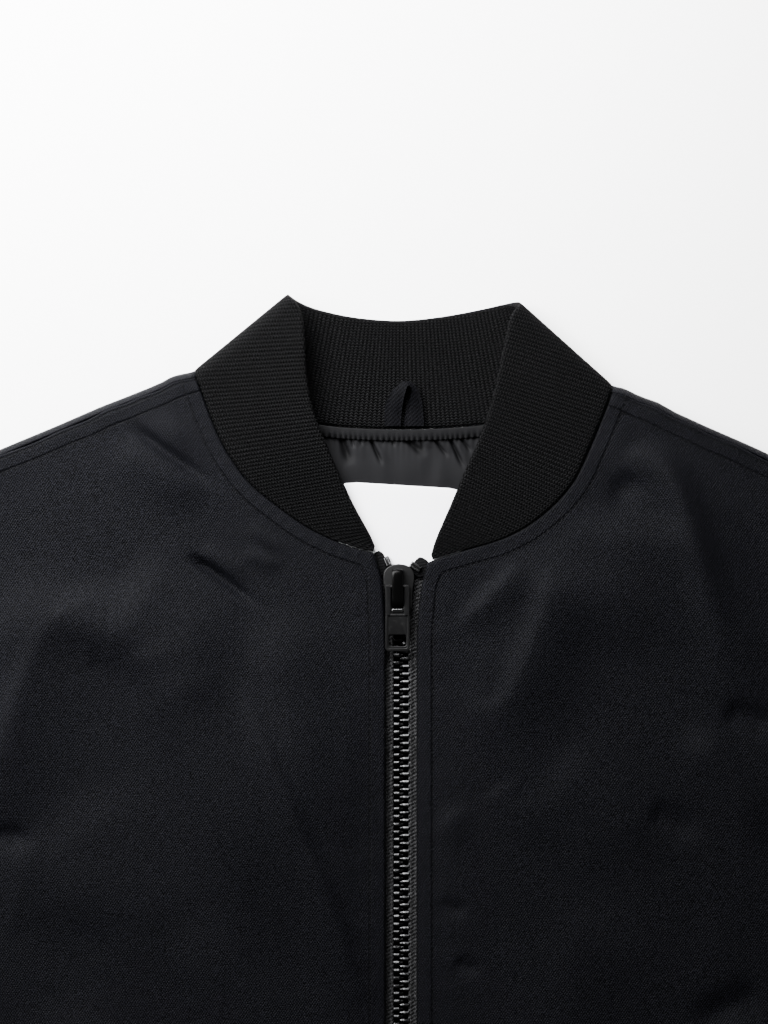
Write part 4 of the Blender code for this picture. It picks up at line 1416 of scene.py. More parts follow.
def zip_ripples(from_zip, along, from_neck):
    """Longer waves, where the stiff zip tape holds the cloth back."""
    wave = np.sin(along * 2 * pi / 17.0 + 1.6 * np.sin(along / 31.0))
    below_neck = smoothstep((from_neck - 12) / 10)
    return ZIP_RIPPLE * near_line(from_zip, ZIP_RIPPLE_AT) * below_neck * wave


# %% Fronts
LEAST_RISE = 0.12
PUFF_DEEP = 9.0
PUFF_RISE = 0.35
WRINKLE_SEED = 3.0


def front_panel(side):
    where = "left" if side < 0 else "right"
    obj = finer(rounded_copy(f"front_{where}", f"shell_front_{where}", 2, shell))
    points = coordinates(obj)
    spots = points[:, :2]
    from_neck, along_neck, _ = neck_line(side).near(spots)
    from_zip, along_zip, _ = zip_edge(side).near(spots)
    shoulder = SHOULDERS[side]
    along, out = shoulder.parts(spots)
    from_seam = SHOULDER_SEAM - out
    on_top = smoothstep((points[:, 2] - UPPER_Z) / 4)
    from_edge = np.minimum(from_neck, from_zip)
    calm = smoothstep((from_edge - 4) / 16) * smoothstep((from_seam - 6) / 14)
    calm *= smoothstep((points[:, 1] - HEM_Y) / 30)
    rise = crease_heights(side, spots) + quiet_wrinkles(spots, WRINKLE_SEED + side)
    height = rise * (LEAST_RISE + (1 - LEAST_RISE) * calm)
    height += neck_ripples(from_neck, along_neck)
    height += zip_ripples(from_zip, along_zip, from_neck)
    puff = shoulder_puffs(side, along) * np.exp(-((from_seam / PUFF_DEEP) ** 2))
    points[:, 2] += (height + PUFF_RISE * puff) * on_top
    points[:, :2] += puff[:, None] * shoulder.out
    set_coordinates(obj, points)
    float_attribute(obj.data, "from_edge", from_edge)
    float_attribute(obj.data, "from_shoulder", from_seam)
    told(obj)
    return obj


fronts = {side: front_panel(side) for side in (-1, 1)}


# %% Back
FAR_FROM_SEAMS = 100.0
PUFF_FROM_X = 60


def back_panel():
    obj = rounded_copy("back", "shell_back", 2, shell)
    points = coordinates(obj)
    for side, shoulder in SHOULDERS.items():
        along, out = shoulder.parts(points[:, :2])
        puff = shoulder_puffs(side, along) * smoothstep((out + 3) / 7)
        puff *= points[:, 0] * side > PUFF_FROM_X
        points[:, :2] += puff[:, None] * shoulder.out
    set_coordinates(obj, points)
    far = np.full(len(points), FAR_FROM_SEAMS)
    float_attribute(obj.data, "from_edge", far)
    float_attribute(obj.data, "from_shoulder", far)
    told(obj)
    return obj


back = back_panel()

# %% [markdown]
# ## Topstitching
#
# The neckline and both front edges are stitched through, and each shoulder seam has two
# rows. A stitch is a small bead of thread, a little sunk in the cloth. Hundreds of them
# follow a few lines, so a tree resamples each line at the stitch length and puts a bead
# on every point, turned along the line. The lines are dropped on the finished panels
# from above, so that the thread follows every fold.

# %% The rule for a row of stitches
STITCH_PITCH = 2.9
STITCH_LONG = 2.3
STITCH_HALF = 0.27
STITCH_SINK = 0.08
STITCH_UNEVEN = 0.1


def stitch_tree():
    tree, given, out = geometry_tree(
        "row of stitches",
        ("Pitch", FLOAT, 0.0029),
        ("Long", FLOAT, 0.0023),
        ("Radius", FLOAT, 0.0003),
        ("Seed", WHOLE, 4),
    )
    line = node(tree, "GeometryNodeMeshToCurve", {"Mesh": given["Geometry"]}).outputs[0]
    spacing = {"Curve": line, "Length": given["Pitch"]}
    spots = node(tree, "GeometryNodeResampleCurve", spacing, mode="LENGTH").outputs[0]
    tangent = node(tree, "GeometryNodeInputTangent").outputs[0]
    turn = node(tree, "FunctionNodeAlignRotationToVector", {"Vector": tangent}, axis="X").outputs[0]
    round_bead = {"Segments": 8, "Rings": 5, "Radius": given["Radius"]}
    bead = node(tree, "GeometryNodeMeshUVSphere", round_bead).outputs[0]
    stretch = maths(tree, "DIVIDE", given["Long"], maths(tree, "MULTIPLY", given["Radius"], 2.0))
    scale = node(tree, "ShaderNodeCombineXYZ", {0: stretch, 1: 1.0, 2: 1.0}).outputs[0]
    long_bead = node(tree, "GeometryNodeTransform", {"Geometry": bead, "Scale": scale}).outputs[0]
    between = {2: 1 - STITCH_UNEVEN, 3: 1 + STITCH_UNEVEN, "Seed": given["Seed"]}
    uneven = node(tree, "FunctionNodeRandomValue", between, data_type="FLOAT").outputs[1]
    beads = {"Points": spots, "Instance": long_bead, "Rotation": turn, "Scale": uneven}
    placed = node(tree, "GeometryNodeInstanceOnPoints", beads).outputs[0]
    return closed(tree, placed, given, out)


STITCHES = stitch_tree()
print("tree:", STITCHES.name)


# %% Lines dropped on a panel
def cover(obj):
    """The finished surface of a piece, for dropping lines on it."""
    faces = [tuple(face.vertices) for face in obj.data.polygons]
    return BVHTree.FromPolygons([Vector(point) for point in coordinates(obj)], faces)


def dropped(surface, spots, sink):
    """Points of a line at the height of the surface below them."""
    made = []
    for x, y in spots:
        hit = surface.ray_cast(Vector((x, y, 60.0)), Vector((0, 0, -1)))[0]
        if hit is not None:
            made.append((x, y, hit.z - sink))
    return made


def sewn(name, lines):
    """One piece with a row of stitches on each line."""
    points = [point for line in lines for point in line]
    mesh = bpy.data.meshes.new(name)
    edges = []
    first = 0
    for line in lines:
        edges += [(first + i, first + i + 1) for i in range(len(line) - 1)]
        first += len(line)
    mesh.from_pydata([tuple(v * MM for v in point) for point in points], edges, [])
    obj = shown(name, mesh)
    made = run_tree(
        obj,
        STITCHES,
        Pitch=STITCH_PITCH * MM,
        Long=STITCH_LONG * MM,
        Radius=STITCH_HALF * MM,
        Material=thread,
    )
    made.data.shade_smooth()
    told(made)
    return made


# %% Neckline, front edge, shoulder and hem
HEM_STITCH = 18.0
HEM_STITCH_X = (16.0, 276.0)
LINE_POINTS = 60


def neck_and_edge_line(side):
    """Down the neckline from the shoulder, round the corner and down to the hem."""
    neck = neck_line(side, TOPSTITCH).points[::-1]
    edge = points_of(ZIP_EDGE[side])
    inner_x = abs(edge[0][0]) + TOPSTITCH
    neck = [point for point in neck if abs(point[0]) > inner_x + 0.5]
    corner_y = neck[-1][1]
    down = np.linspace(corner_y - 1.0, HEM_Y + 2.0, 2 * LINE_POINTS)
    return Path(neck + [(side * inner_x, y) for y in down], smooth=False).points


def shoulder_lines(side):
    """Two rows in front of the shoulder seam, from the neck to the armhole."""
    shoulder = SHOULDERS[side]
    shares = np.linspace(0.035, 0.995, LINE_POINTS)
    lines = []
    for row in SHOULDER_ROWS:
        foot = shoulder.start + (SHOULDER_SEAM - row) * shoulder.out
        lines.append([foot + share * shoulder.length * shoulder.along for share in shares])
    return lines


def stitching(side):
    where = "left" if side < 0 else "right"
    surface = cover(fronts[side])
    hem = [(side * x, HEM_Y + HEM_STITCH) for x in np.linspace(*HEM_STITCH_X, LINE_POINTS)]
    spots = [neck_and_edge_line(side), *shoulder_lines(side), hem]
    lines = [dropped(surface, line, STITCH_SINK) for line in spots]
    return sewn(f"stitches_{where}", lines)


stitches = {side: stitching(side) for side in (-1, 1)}

# %% [markdown]
# ## Inside the neck
#
# The lining is cut wider than the neck and gathered into a narrow binding tape. Close
# under the tape it stands in short slanting folds, which fade into smooth cloth further
# down. The folds that show are placed one by one, and finer ones fill the rest.

# %% Gathered lining
GATHERS = table(
    "x1 y1 x2 y2 wide deep",
    (-28.8, 288.5, -24.6, 275.5, 2.1, 1.7),
    (-24.0, 288.5, -22.6, 283.0, 0.8, 0.7),
    (-14.6, 287.5, -9.0, 275.0, 0.9, 1.6),
    (-20.0, 288.5, -18.6, 284.0, 0.7, 0.6),
    (-4.5, 288.5, -3.4, 283.6, 0.7, 0.6),
    (3.0, 287.0, 12.0, 279.6, 1.9, 1.5),
    (9.4, 288.0, 11.0, 282.0, 0.9, 0.9),
    (16.4, 287.0, 22.6, 279.0, 0.9, 1.3),
    (23.6, 288.0, 30.5, 273.0, 1.0, 1.7),
    (28.6, 288.5, 34.0, 281.0, 0.9, 1.2),
)
print(len(GATHERS), "folds placed by hand")


# %% One slanting fold
def slanting_fold(spots, row):
    """A sharp valley that opens downwards into a low ridge on its lower side."""
    start = np.array((row["x1"], row["y1"]))
    run = np.array((row["x2"], row["y2"])) - start
    length = hypot(*run)
    share = (spots - start) @ run / length**2
    aside = (spots - start) @ np.array((-run[1], run[0])) / length
    wide = row["wide"] * (0.7 + 0.6 * np.clip(share, 0, 1))
    fade = smoothstep((share + 0.15) / 0.2) * smoothstep((1.1 - share) / 0.6)
    valley = np.exp(-((aside / wide) ** 2))
    ridge = np.exp(-(((aside - 2.2 * wide) / (1.8 * wide)) ** 2))
    return row["deep"] * fade * (0.28 * ridge - valley)


# %% Lining
LINING_LIFT = 0.5
FOLD_DARK = 1.1
LINING_TOP_Y = 289.0
FINE_PITCH = 3.1
FINE_HIGH = 0.16
SOFT_HIGH = 0.6


def lining():
    obj = rounded_copy("back_lining", "gathered_lining", 4, taffeta)
    points = coordinates(obj)
    spots = points[:, :2]
    rise = LINING_LIFT + sum(slanting_fold(spots, row) for row in GATHERS)
    # Painted shade: how deep each point lies in a gather is stored as in_fold, which darkens the
    # colour there.
    float_attribute(obj.data, "in_fold", smoothstep((LINING_LIFT - rise) / FOLD_DARK))
    below = LINING_TOP_Y - spots[:, 1]
    fine = np.sin(spots[:, 0] * 2 * pi / FINE_PITCH + 1.7 * np.sin(spots[:, 0] / 4.3))
    rise += FINE_HIGH * fine * np.exp(-np.maximum(below, 0) / 4.0)
    soft = [noise.noise(Vector((x / 9, y / 16, 4.2))) for x, y in spots]
    rise += SOFT_HIGH * np.array(soft) * smoothstep(below / 6)
    points[:, 2] += rise
    set_coordinates(obj, points)
    told(obj)
    return obj


gathered_lining = lining()

# %% [markdown]
# ### Binding tape
#
# The raw edges of the neck seam are wrapped in a narrow tape. It is eased round the
# curve, so it puckers along its lower edge at an even pitch. A wave across the tape does
# that. It grows towards the lower edge, and its valleys are kept so that the material
# can paint shade into them.

# %% Gathered binding
PUCKER = 2.6
PUCKER_HIGH = 0.45
PUCKER_OUT = 0.3
TAPE_ACROSS = 5.4
BINDING_UPPER_Z = 5.6


def binding():
    obj = rounded_copy("neck_binding", "gathered_binding", 3, binding_cloth)
    points = coordinates(obj)
    seam_y = np.interp(points[:, 0], *zip(*[(row["x"], row["y"]) for row in NECK_SEAM_BACK]))
    below = seam_y - points[:, 1]
    across = np.clip(below / TAPE_ACROSS, 0, 1)
    on_top = points[:, 2] > BINDING_UPPER_Z
    wave = points[:, 0] * 2 * pi / PUCKER + 1.1 * np.sin(points[:, 0] / 3.7)
    pleats = 0.5 + 0.5 * np.sin(wave)
    points[:, 2] += on_top * (PUCKER_HIGH * pleats - 0.15) * across**3
    points[:, 1] -= PUCKER_OUT * (pleats - 0.5) * smoothstep((across - 0.7) / 0.3)
    # Painted shade: the pleats' valleys are stored as in_fold, which darkens the colour there.
    valleys = (1 - pleats) ** 1.5 * smoothstep((across - 0.6) / 0.3)
    float_attribute(obj.data, "in_fold", valleys)
    set_coordinates(obj, points)
    told(obj)
    return obj


gathered_binding = binding()

# %% [markdown]
# ### Bare label
#
# A white satin label is sewn on the lining. It is as soft as the lining below it, so it
# gets low waves that fade towards its lower end, which the collar hides. Whatever a
# maker would print there is left off.

# %% Label
LABEL_HALF_Y = 247.0
LABEL_HALF_HIGH = 18.0
LABEL_LONGER = 3.0
LABEL_WAVE = 0.3


def bare_label():
    obj = rounded_copy("label", "label_bare", 3, label_satin)
    points = coordinates(obj)
    share = smoothstep((LABEL_HALF_Y - points[:, 1]) / LABEL_HALF_HIGH)
    points[:, 1] -= LABEL_LONGER * share
    lift = 0.5 * np.sin(points[:, 0] / 11.0 + 0.6) + 0.35 * np.sin(points[:, 1] / 9.0 + 1.0)
    points[:, 2] += LABEL_WAVE * (lift + 0.85) * (1 - share)
    set_coordinates(obj, points)
    told(obj)
    return obj


label_bare = bare_label()

# %% [markdown]
# ### Hanger loop
#
# The loop is one twill tape, folded over so that its two legs lie side by side under the
# neck seam. It could be a strip bent along a curve, but a tape that turns so tightly
# stands up on its inner edge. So two paths give its edges, and a grid is stretched
# between them, raised in the middle and at the top.

# %% Edges of the loop
LOOP_OUTER = ((-8.0, 293.8), (-7.9, 300.0), (-6.7, 306.5), (-3.2, 312.2), (1.6, 315.6))
LOOP_INNER = ((-0.2, 293.8), (0.3, 300.0), (1.1, 306.0), (2.1, 310.2), (3.4, 313.4))
LOOP_OUTER_RIGHT = ((6.2, 314.0), (9.2, 309.0), (10.6, 302.0), (11.0, 293.8))
LOOP_INNER_RIGHT = ((4.9, 311.2), (3.6, 306.4), (2.2, 300.0), (1.3, 293.8))
LOOP_LOW = 4.25
LOOP_WALL = 0.9
LOOP_STEPS = 60
LOOP_ACROSS = 10
LOOP_TOP_Y = 300.0
LOOP_STANDS = 1.5
LOOP_BELLY = 0.5
LOOP_EDGE = 0.25


# %% Hanger loop
def hanger_loop():
    """Two legs of one tape side by side, its inner edge standing up at the top."""
    outer = Path(LOOP_OUTER + LOOP_OUTER_RIGHT)
    inner = Path(LOOP_INNER + LOOP_INNER_RIGHT)
    grid = np.zeros((LOOP_STEPS + 1, LOOP_ACROSS + 1, 3))
    for step in range(LOOP_STEPS + 1):
        share = step / LOOP_STEPS
        start, end = outer.at(share), inner.at(share)
        top = smoothstep((start[1] - LOOP_TOP_Y) / 14.0)
        for column in range(LOOP_ACROSS + 1):
            across = column / LOOP_ACROSS
            flat = start + across * (end - start)
            belly = LOOP_BELLY * sin(pi * across)
            inner_rise = LOOP_STANDS * top * across**1.6 + 0.5 * top
            edge = LOOP_EDGE * abs(2 * across - 1) ** 8
            grid[step, column] = (*flat, LOOP_LOW + LOOP_WALL + belly + inner_rise + edge)
    outward = np.zeros_like(grid)
    outward[..., 2] = 1
    thick = np.full(grid.shape[:2], LOOP_WALL)
    points = wall_points(grid, outward, thick)
    obj = piece("tape_loop", points, wall_faces(*grid.shape[:2]), loop_cloth)
    obj.data.set_sharp_from_angle(angle=radians(50))
    return obj


tape_loop = hanger_loop()
told(tape_loop)

# %% [markdown]
# ## The zip
#
# A metal zip has one shape of tooth, clamped on the edge of each tape and staggered by
# half a pitch, so that each head sits between two heads of the other side. The tooth is
# modelled once with small faces that catch the light, and a tree repeats it up both
# tapes. Each tooth is tilted a little at random, as clamped metal is.


# %% A shape from equal rings
def ring_faces(rings, around):
    """Side faces and two end caps for rings of points, one after another."""
    faces = [tuple(range(around)), tuple((rings - 1) * around + i for i in range(around))[::-1]]
    for ring in range(rings - 1):
        low, high = ring * around, (ring + 1) * around
        for i in range(around):
            j = (i + 1) % around
            faces.append((low + i, low + j, high + j, high + i))
    return faces


# %% Sizes of the teeth
TOOTH_PITCH = 3.7
TOOTH_LOW = 6.1
TOOTH_HIGH = 9.2
TOOTH_RINGS = ((6.1, 0.6), (6.6, 1.0), (8.65, 1.0), (8.85, 0.92), (9.12, 0.3), (9.2, 0.12))
TOOTH_MIDDLE_X = 1.8
TOOTH_ROUND = 0.35
HEAD_LOWER = 0.75
TOOTH_TILT = (0.05, 0.03, 0.03)
CHAIN_X = 0.3
CHAIN_Y = (-341.0, 212.5)
TOOTH_OUTLINE = [
    (3.9, -0.5),
    (3.9, 0.5),
    (3.5, 0.8),
    (1.2, 0.8),
    (0.35, 0.72),
    (0.1, 0.5),
    (-0.8, 0.6),
    (-1.0, 0.35),
    (-1.0, -0.35),
    (-0.8, -0.6),
    (0.1, -0.5),
    (0.35, -0.72),
    (1.2, -0.8),
    (3.5, -0.8),
]
print("teeth", round(TOOTH_HIGH - TOOTH_LOW, 1), "mm high, one each", TOOTH_PITCH, "mm")


# %% One tooth
def tooth():
    """A clamp on the tape's edge and a narrower head, seen from above as a bar."""
    points = []
    for z, narrower in TOOTH_RINGS:
        for x, y in TOOTH_OUTLINE:
            head = HEAD_LOWER * smoothstep((0.6 - x) / 0.7) if z > TOOTH_LOW + 1 else 0.0
            inward = -TOOTH_ROUND * np.sign(x - TOOTH_MIDDLE_X) * (1 - narrower)
            points.append((x + inward, y * narrower, z - head))
    faces = ring_faces(len(TOOTH_RINGS), len(TOOTH_OUTLINE))
    return piece("tooth", points, faces, tooth_metal, smooth=False)


# %% Teeth up both tapes
def teeth_tree():
    tree, given, out = geometry_tree(
        "teeth up both tapes",
        ("Tooth", "NodeSocketObject", None),
        ("Count", WHOLE, 100),
        ("Pitch", FLOAT, 0.0037),
        ("Seed", WHOLE, 11),
    )
    tooth_shape = node(tree, "GeometryNodeObjectInfo", {"Object": given["Tooth"]})
    step = node(tree, "ShaderNodeCombineXYZ", {1: given["Pitch"]}).outputs[0]
    half_pitch = maths(tree, "MULTIPLY", given["Pitch"], 0.5)
    both = node(tree, "GeometryNodeJoinGeometry")
    tilt_x, tilt_y, tilt_z = TOOTH_TILT
    for turn, shift in ((0.0, 0.0), (pi, 1.0)):
        row = {"Count": given["Count"], "Offset": step}
        line = node(tree, "GeometryNodeMeshLine", row, mode="OFFSET").outputs[0]
        start_y = maths(tree, "MULTIPLY", half_pitch, shift)
        start = node(tree, "ShaderNodeCombineXYZ", {1: start_y}).outputs[0]
        shifted = {"Geometry": line, "Translation": start}
        moved = node(tree, "GeometryNodeTransform", shifted).outputs[0]
        between = {
            0: (-tilt_x, -tilt_y, turn - tilt_z),
            1: (tilt_x, tilt_y, turn + tilt_z),
            "Seed": given["Seed"],
        }
        tilt = node(tree, "FunctionNodeRandomValue", between, data_type="FLOAT_VECTOR")
        teeth_of_side = {
            "Points": moved,
            "Instance": tooth_shape.outputs["Geometry"],
            "Rotation": tilt.outputs[0],
        }
        placed = node(tree, "GeometryNodeInstanceOnPoints", teeth_of_side).outputs[0]
        tree.links.new(placed, both.inputs[0])
    return closed(tree, both.outputs[0], given, out)


def zip_teeth():
    """The chain of teeth, made round its own middle height and then put in place."""
    shape = tooth()
    middle = 0.5 * (TOOTH_LOW + TOOTH_HIGH)
    points = coordinates(shape)
    points[:, 2] -= middle
    set_coordinates(shape, points)
    obj = shown("zip_teeth", bpy.data.meshes.new("zip_teeth"))
    count = int((CHAIN_Y[1] - CHAIN_Y[0]) / TOOTH_PITCH)
    run_tree(
        obj,
        teeth_tree(),
        Tooth=shape,
        Count=count,
        Pitch=TOOTH_PITCH * MM,
        Material=tooth_metal,
    )
    set_coordinates(obj, coordinates(obj) + np.array((CHAIN_X, CHAIN_Y[0] + 1.0, middle)))
    bpy.data.objects.remove(shape)
    print(2 * count, "teeth")
    told(obj)
    return obj


teeth = zip_teeth()

# %% [markdown]
# ### Zip tapes
#
# Each tape is a woven strip, with a cord woven into its edge under the teeth. One
# outline across the tape holds both the bead of the cord and the flat strip. It is
# repeated up the zip, and its ends are cut at a slant that follows the neckline.

# %% Outline across a tape
TAPE_X = (4.35, 14.5)
TAPE_Z = 7.65
TAPE_LOW_Y = -355.0
TAPE_TOP_Y = (221.5, 228.0)
TAPE_ROWS = 60
TAPE_SHARP = radians(55)
TAPE_PROFILE = table(
    "out high",
    (0.0, -0.9),
    (-0.65, -0.55),
    (-0.85, 0.1),
    (-0.55, 0.8),
    (0.15, 1.0),
    (0.9, 0.75),
    (1.4, 0.3),
    (2.4, 0.12),
    (5.5, 0.1),
    (9.6, 0.1),
    (9.6, -0.6),
    (1.3, -0.6),
)
print("each tape", round(TAPE_X[1] - TAPE_X[0], 1), "mm wide")


# %% Woven tapes with a beaded edge
def zip_tape(side):
    where = "left" if side < 0 else "right"
    points = []
    for row in range(TAPE_ROWS + 1):
        for spot in TAPE_PROFILE:
            share = np.clip(spot["out"] / (TAPE_X[1] - TAPE_X[0]), 0, 1)
            top = TAPE_TOP_Y[0] + share * (TAPE_TOP_Y[1] - TAPE_TOP_Y[0])
            y = TAPE_LOW_Y + row / TAPE_ROWS * (top - TAPE_LOW_Y)
            points.append((side * (TAPE_X[0] + spot["out"]), y, TAPE_Z + spot["high"]))
    faces = ring_faces(TAPE_ROWS + 1, len(TAPE_PROFILE))
    obj = piece(f"woven_tape_{where}", points, faces, zip_tape_painted_lighter)
    obj.data.set_sharp_from_angle(angle=TAPE_SHARP)
    told(obj)
    return obj


tapes = {side: zip_tape(side) for side in (-1, 1)}

# %% [markdown]
# ## Slider, pull tab and small fittings
#
# The slider is two plates joined by a post, with a bridge over the tab's pin. Plates
# with holes are quick to draw as flat curves: the outline is one spline, each hole is
# another, and the curve's own bevel rounds every edge. They are turned into meshes
# before they are put in place.

# %% Flat plates with rounded edges
PLATE_SHARP = radians(40)


def plate(name, splines, low, high, rounding, material):
    """A flat plate between two heights, from closed outlines in millimetres."""
    curve = bpy.data.curves.new(name, "CURVE")
    curve.dimensions = "2D"
    curve.fill_mode = "BOTH"
    curve.extrude = (0.5 * (high - low) - rounding) * MM
    curve.bevel_depth = rounding * MM
    curve.bevel_resolution = 3
    curve.offset = -rounding * MM
    for outline in splines:
        spline = curve.splines.new("POLY")
        spline.points.add(len(outline) - 1)
        for spot, (x, y) in zip(spline.points, outline):
            spot.co = (x * MM, y * MM, 0, 1)
        spline.use_cyclic_u = True
    drawn = shown(name, curve)
    bpy.context.view_layer.update()
    seen = drawn.evaluated_get(bpy.context.evaluated_depsgraph_get())
    mesh = bpy.data.meshes.new_from_object(seen)
    bpy.data.objects.remove(drawn)
    shape = bmesh.new()
    shape.from_mesh(mesh)
    bmesh.ops.remove_doubles(shape, verts=shape.verts, dist=0.001 * MM)
    bmesh.ops.translate(shape, verts=shape.verts, vec=(0, 0, 0.5 * (low + high) * MM))
    bmesh.ops.recalc_face_normals(shape, faces=shape.faces)
    shape.to_mesh(mesh)
    shape.free()
    mesh.materials.clear()
    mesh.materials.append(material)
    mesh.shade_smooth()
    mesh.set_sharp_from_angle(angle=PLATE_SHARP)
    return shown(name, mesh)


# %% Outlines and joining
def rounded_rectangle(low_x, high_x, low_y, high_y, radius, steps=5):
    """Corners as arcs, counter-clockwise."""
    centres = (
        (high_x - radius, high_y - radius, 0),
        (low_x + radius, high_y - radius, pi / 2),
        (low_x + radius, low_y + radius, pi),
        (high_x - radius, low_y + radius, 1.5 * pi),
    )
    points = []
    for x, y, start in centres:
        for step in range(steps + 1):
            angle = start + step / steps * pi / 2
            points.append((x + radius * cos(angle), y + radius * sin(angle)))
    return points


def together(name, parts):
    """Several meshes as one piece, each with its own finish."""
    finishes = []
    shape = bmesh.new()
    for part in parts:
        finish = part.data.materials[0]
        if finish not in finishes:
            finishes.append(finish)
        for face in part.data.polygons:
            face.material_index = finishes.index(finish)
        shape.from_mesh(part.data)
    mesh = bpy.data.meshes.new(name)
    shape.to_mesh(mesh)
    shape.free()
    for finish in finishes:
        mesh.materials.append(finish)
    for part in parts:
        bpy.data.objects.remove(part)
    mesh.shade_smooth()
    mesh.set_sharp_from_angle(angle=PLATE_SHARP)
    return shown(name, mesh)


# %% Sizes of the slider
SLIDER_X = -1.1
SLIDER_LOW = (4.6, 5.6)
SLIDER_TOP = (9.6, 11.4)
CROWN_X = -1.7
CROWN_HALF = 2.65
CROWN_Y = (206.9, 225.3)
CROWN_ROUND = 0.75
CROWN_TOP = 15.8
CROWN_WALL = 1.5
CROWN_ROWS = 40
CROWN_SIDES = 16
POST = (2.0, 219.5, 226.0)
FLANGE_X = (5.35, 6.4)
FLANGE_Y = (206.4, 217.0)
FLANGE_Z = (8.4, 9.9)
SHOULDER_SPOTS = [
    (0.0, 227.5),
    (4.2, 226.6),
    (6.8, 224.2),
    (7.5, 220.6),
    (6.9, 216.4),
    (6.45, 212.0),
    (6.35, 206.4),
]
print("slider", round(SLIDER_TOP[1] - SLIDER_LOW[0], 1), "mm thick under its crown")


# %% Plates of the slider
def slider_outline():
    """Wide round shoulders over a narrower body."""
    right = Path(SHOULDER_SPOTS)
    points = [right.at(share) for share in np.linspace(0, 1, 26)]
    points += [np.array((5.6, 205.9)), np.array((0.0, 205.9))]
    full = points + [np.array((-x, y)) for x, y in points[-2:0:-1]]
    return [(SLIDER_X + x, y) for x, y in full[::-1]]


# %% Crown over the plates
def crown_bar():
    """A bridge with rounded shoulders, swept along the zip."""
    low, high = CROWN_Y
    line = Path(
        [
            (low + 0.9, 11.0),
            (low + 0.75, 13.2),
            (low + 2.2, CROWN_TOP - 0.95),
            (low + 6.0, CROWN_TOP - 0.75),
            (high - 6.5, CROWN_TOP - 0.75),
            (high - 2.4, CROWN_TOP - 1.25),
            (high - 0.85, 13.4),
            (high - 0.9, 11.0),
        ]
    )
    points = []
    for row in range(CROWN_ROWS + 1):
        share = row / CROWN_ROWS
        y, z = line.at(share)
        along_y, along_z = line.heading(share, 0.01)
        for i in range(CROWN_SIDES):
            angle = 2 * pi * i / CROWN_SIDES
            wide = CROWN_HALF * np.sign(cos(angle)) * abs(cos(angle)) ** CROWN_ROUND
            high_part = 0.5 * CROWN_WALL * np.sign(sin(angle)) * abs(sin(angle)) ** CROWN_ROUND
            points.append((CROWN_X + wide, y - along_z * high_part, z + along_y * high_part))
    return piece("crown", points, ring_faces(CROWN_ROWS + 1, CROWN_SIDES), crown_gloss)


# %% Slider
def zip_slider():
    """Two plates on a post, with a flange down each side and the crown on top."""
    parts = [plate("top_plate", [slider_outline()], *SLIDER_TOP, 0.55, slider_satin)]
    parts.append(plate("low_plate", [slider_outline()], *SLIDER_LOW, 0.25, slider_paint))
    half, *post_y = POST
    post = rounded_rectangle(SLIDER_X - half, SLIDER_X + half, *post_y, 0.8)
    post_z = (SLIDER_LOW[1] - 0.3, SLIDER_TOP[0] + 0.3)
    parts.append(plate("post", [post], *post_z, 0.1, slider_paint))
    for side in (-1, 1):
        near, far = sorted(SLIDER_X + side * x for x in FLANGE_X)
        flange = rounded_rectangle(near, far, *FLANGE_Y, 0.4)
        parts.append(plate("flange", [flange], *FLANGE_Z, 0.1, slider_paint))
    parts.append(crown_bar())
    return together("painted_slider", parts)


slider = zip_slider()
told(slider)

# %% [markdown]
# ### Pull tab
#
# The tab is cast in one piece: a fork that grips the crown's pin, a plate with a raised
# rim, and a window at its end. It lies on the chain here, and swings up and over on its
# pin, so it stays a piece of its own. Thin plates stacked a little apart give its
# steps, and each keeps its rounded edge. The field inside the rim stays bare.

# %% Sizes of the tab
TAB_HALF = 5.85
TAB_TOP_Y = 217.6
TAB_LOW_Y = 185.5
TAB_SLOT_Y = 204.2
TAB_Z = (12.1, 13.9)
TAB_WINDOW = (4.1, 188.0, 193.5)
TAB_BORDER = 1.25
TAB_LIP_Y = (204.1, 206.2)
TAB_LIP_Z = (12.4, 14.2)
TAB_RIM_Y = 203.4
TAB_ROUND = 1.7
TAB_RISE = 0.5
ARM_Y = 202.2
PIN_Y = 216.5
PIN_Z = 13.0
PIN_HALF = 0.95
PIN_SIDES = 16
print("tab", round(TAB_TOP_Y - TAB_LOW_Y, 1), "by", 2 * TAB_HALF, "mm")


# %% Fork that goes round the crown
def fork_outline(half, low, high, slot_half, slot_low, radius):
    """A plate with a slot open at the top, for the crown."""
    points = rounded_rectangle(-half, half, low, high, radius)
    top_right = [p for p in points if p[1] > (low + high) / 2 and p[0] > 0]
    top_left = [p for p in points if p[1] > (low + high) / 2 and p[0] < 0]
    bottom = [p for p in points if p[1] < (low + high) / 2]
    slot = [(-slot_half, high)]
    for step in range(9):
        angle = pi + step / 8 * pi
        slot.append((slot_half * cos(angle), slot_low + slot_half + slot_half * sin(angle) * 0.9))
    slot.append((slot_half, high))
    outline = top_right + slot[::-1] + top_left + bottom
    return [(CROWN_X + x, y) for x, y in outline]


# %% Pin through the crown
def tab_pin():
    points = []
    for x in (CROWN_X - TAB_HALF + 0.4, CROWN_X + TAB_HALF - 0.4):
        for i in range(PIN_SIDES):
            angle = 2 * pi * i / PIN_SIDES
            points.append((x, PIN_Y + PIN_HALF * cos(angle), PIN_Z + PIN_HALF * sin(angle)))
    return piece("pin", points, ring_faces(2, PIN_SIDES), slider_paint)


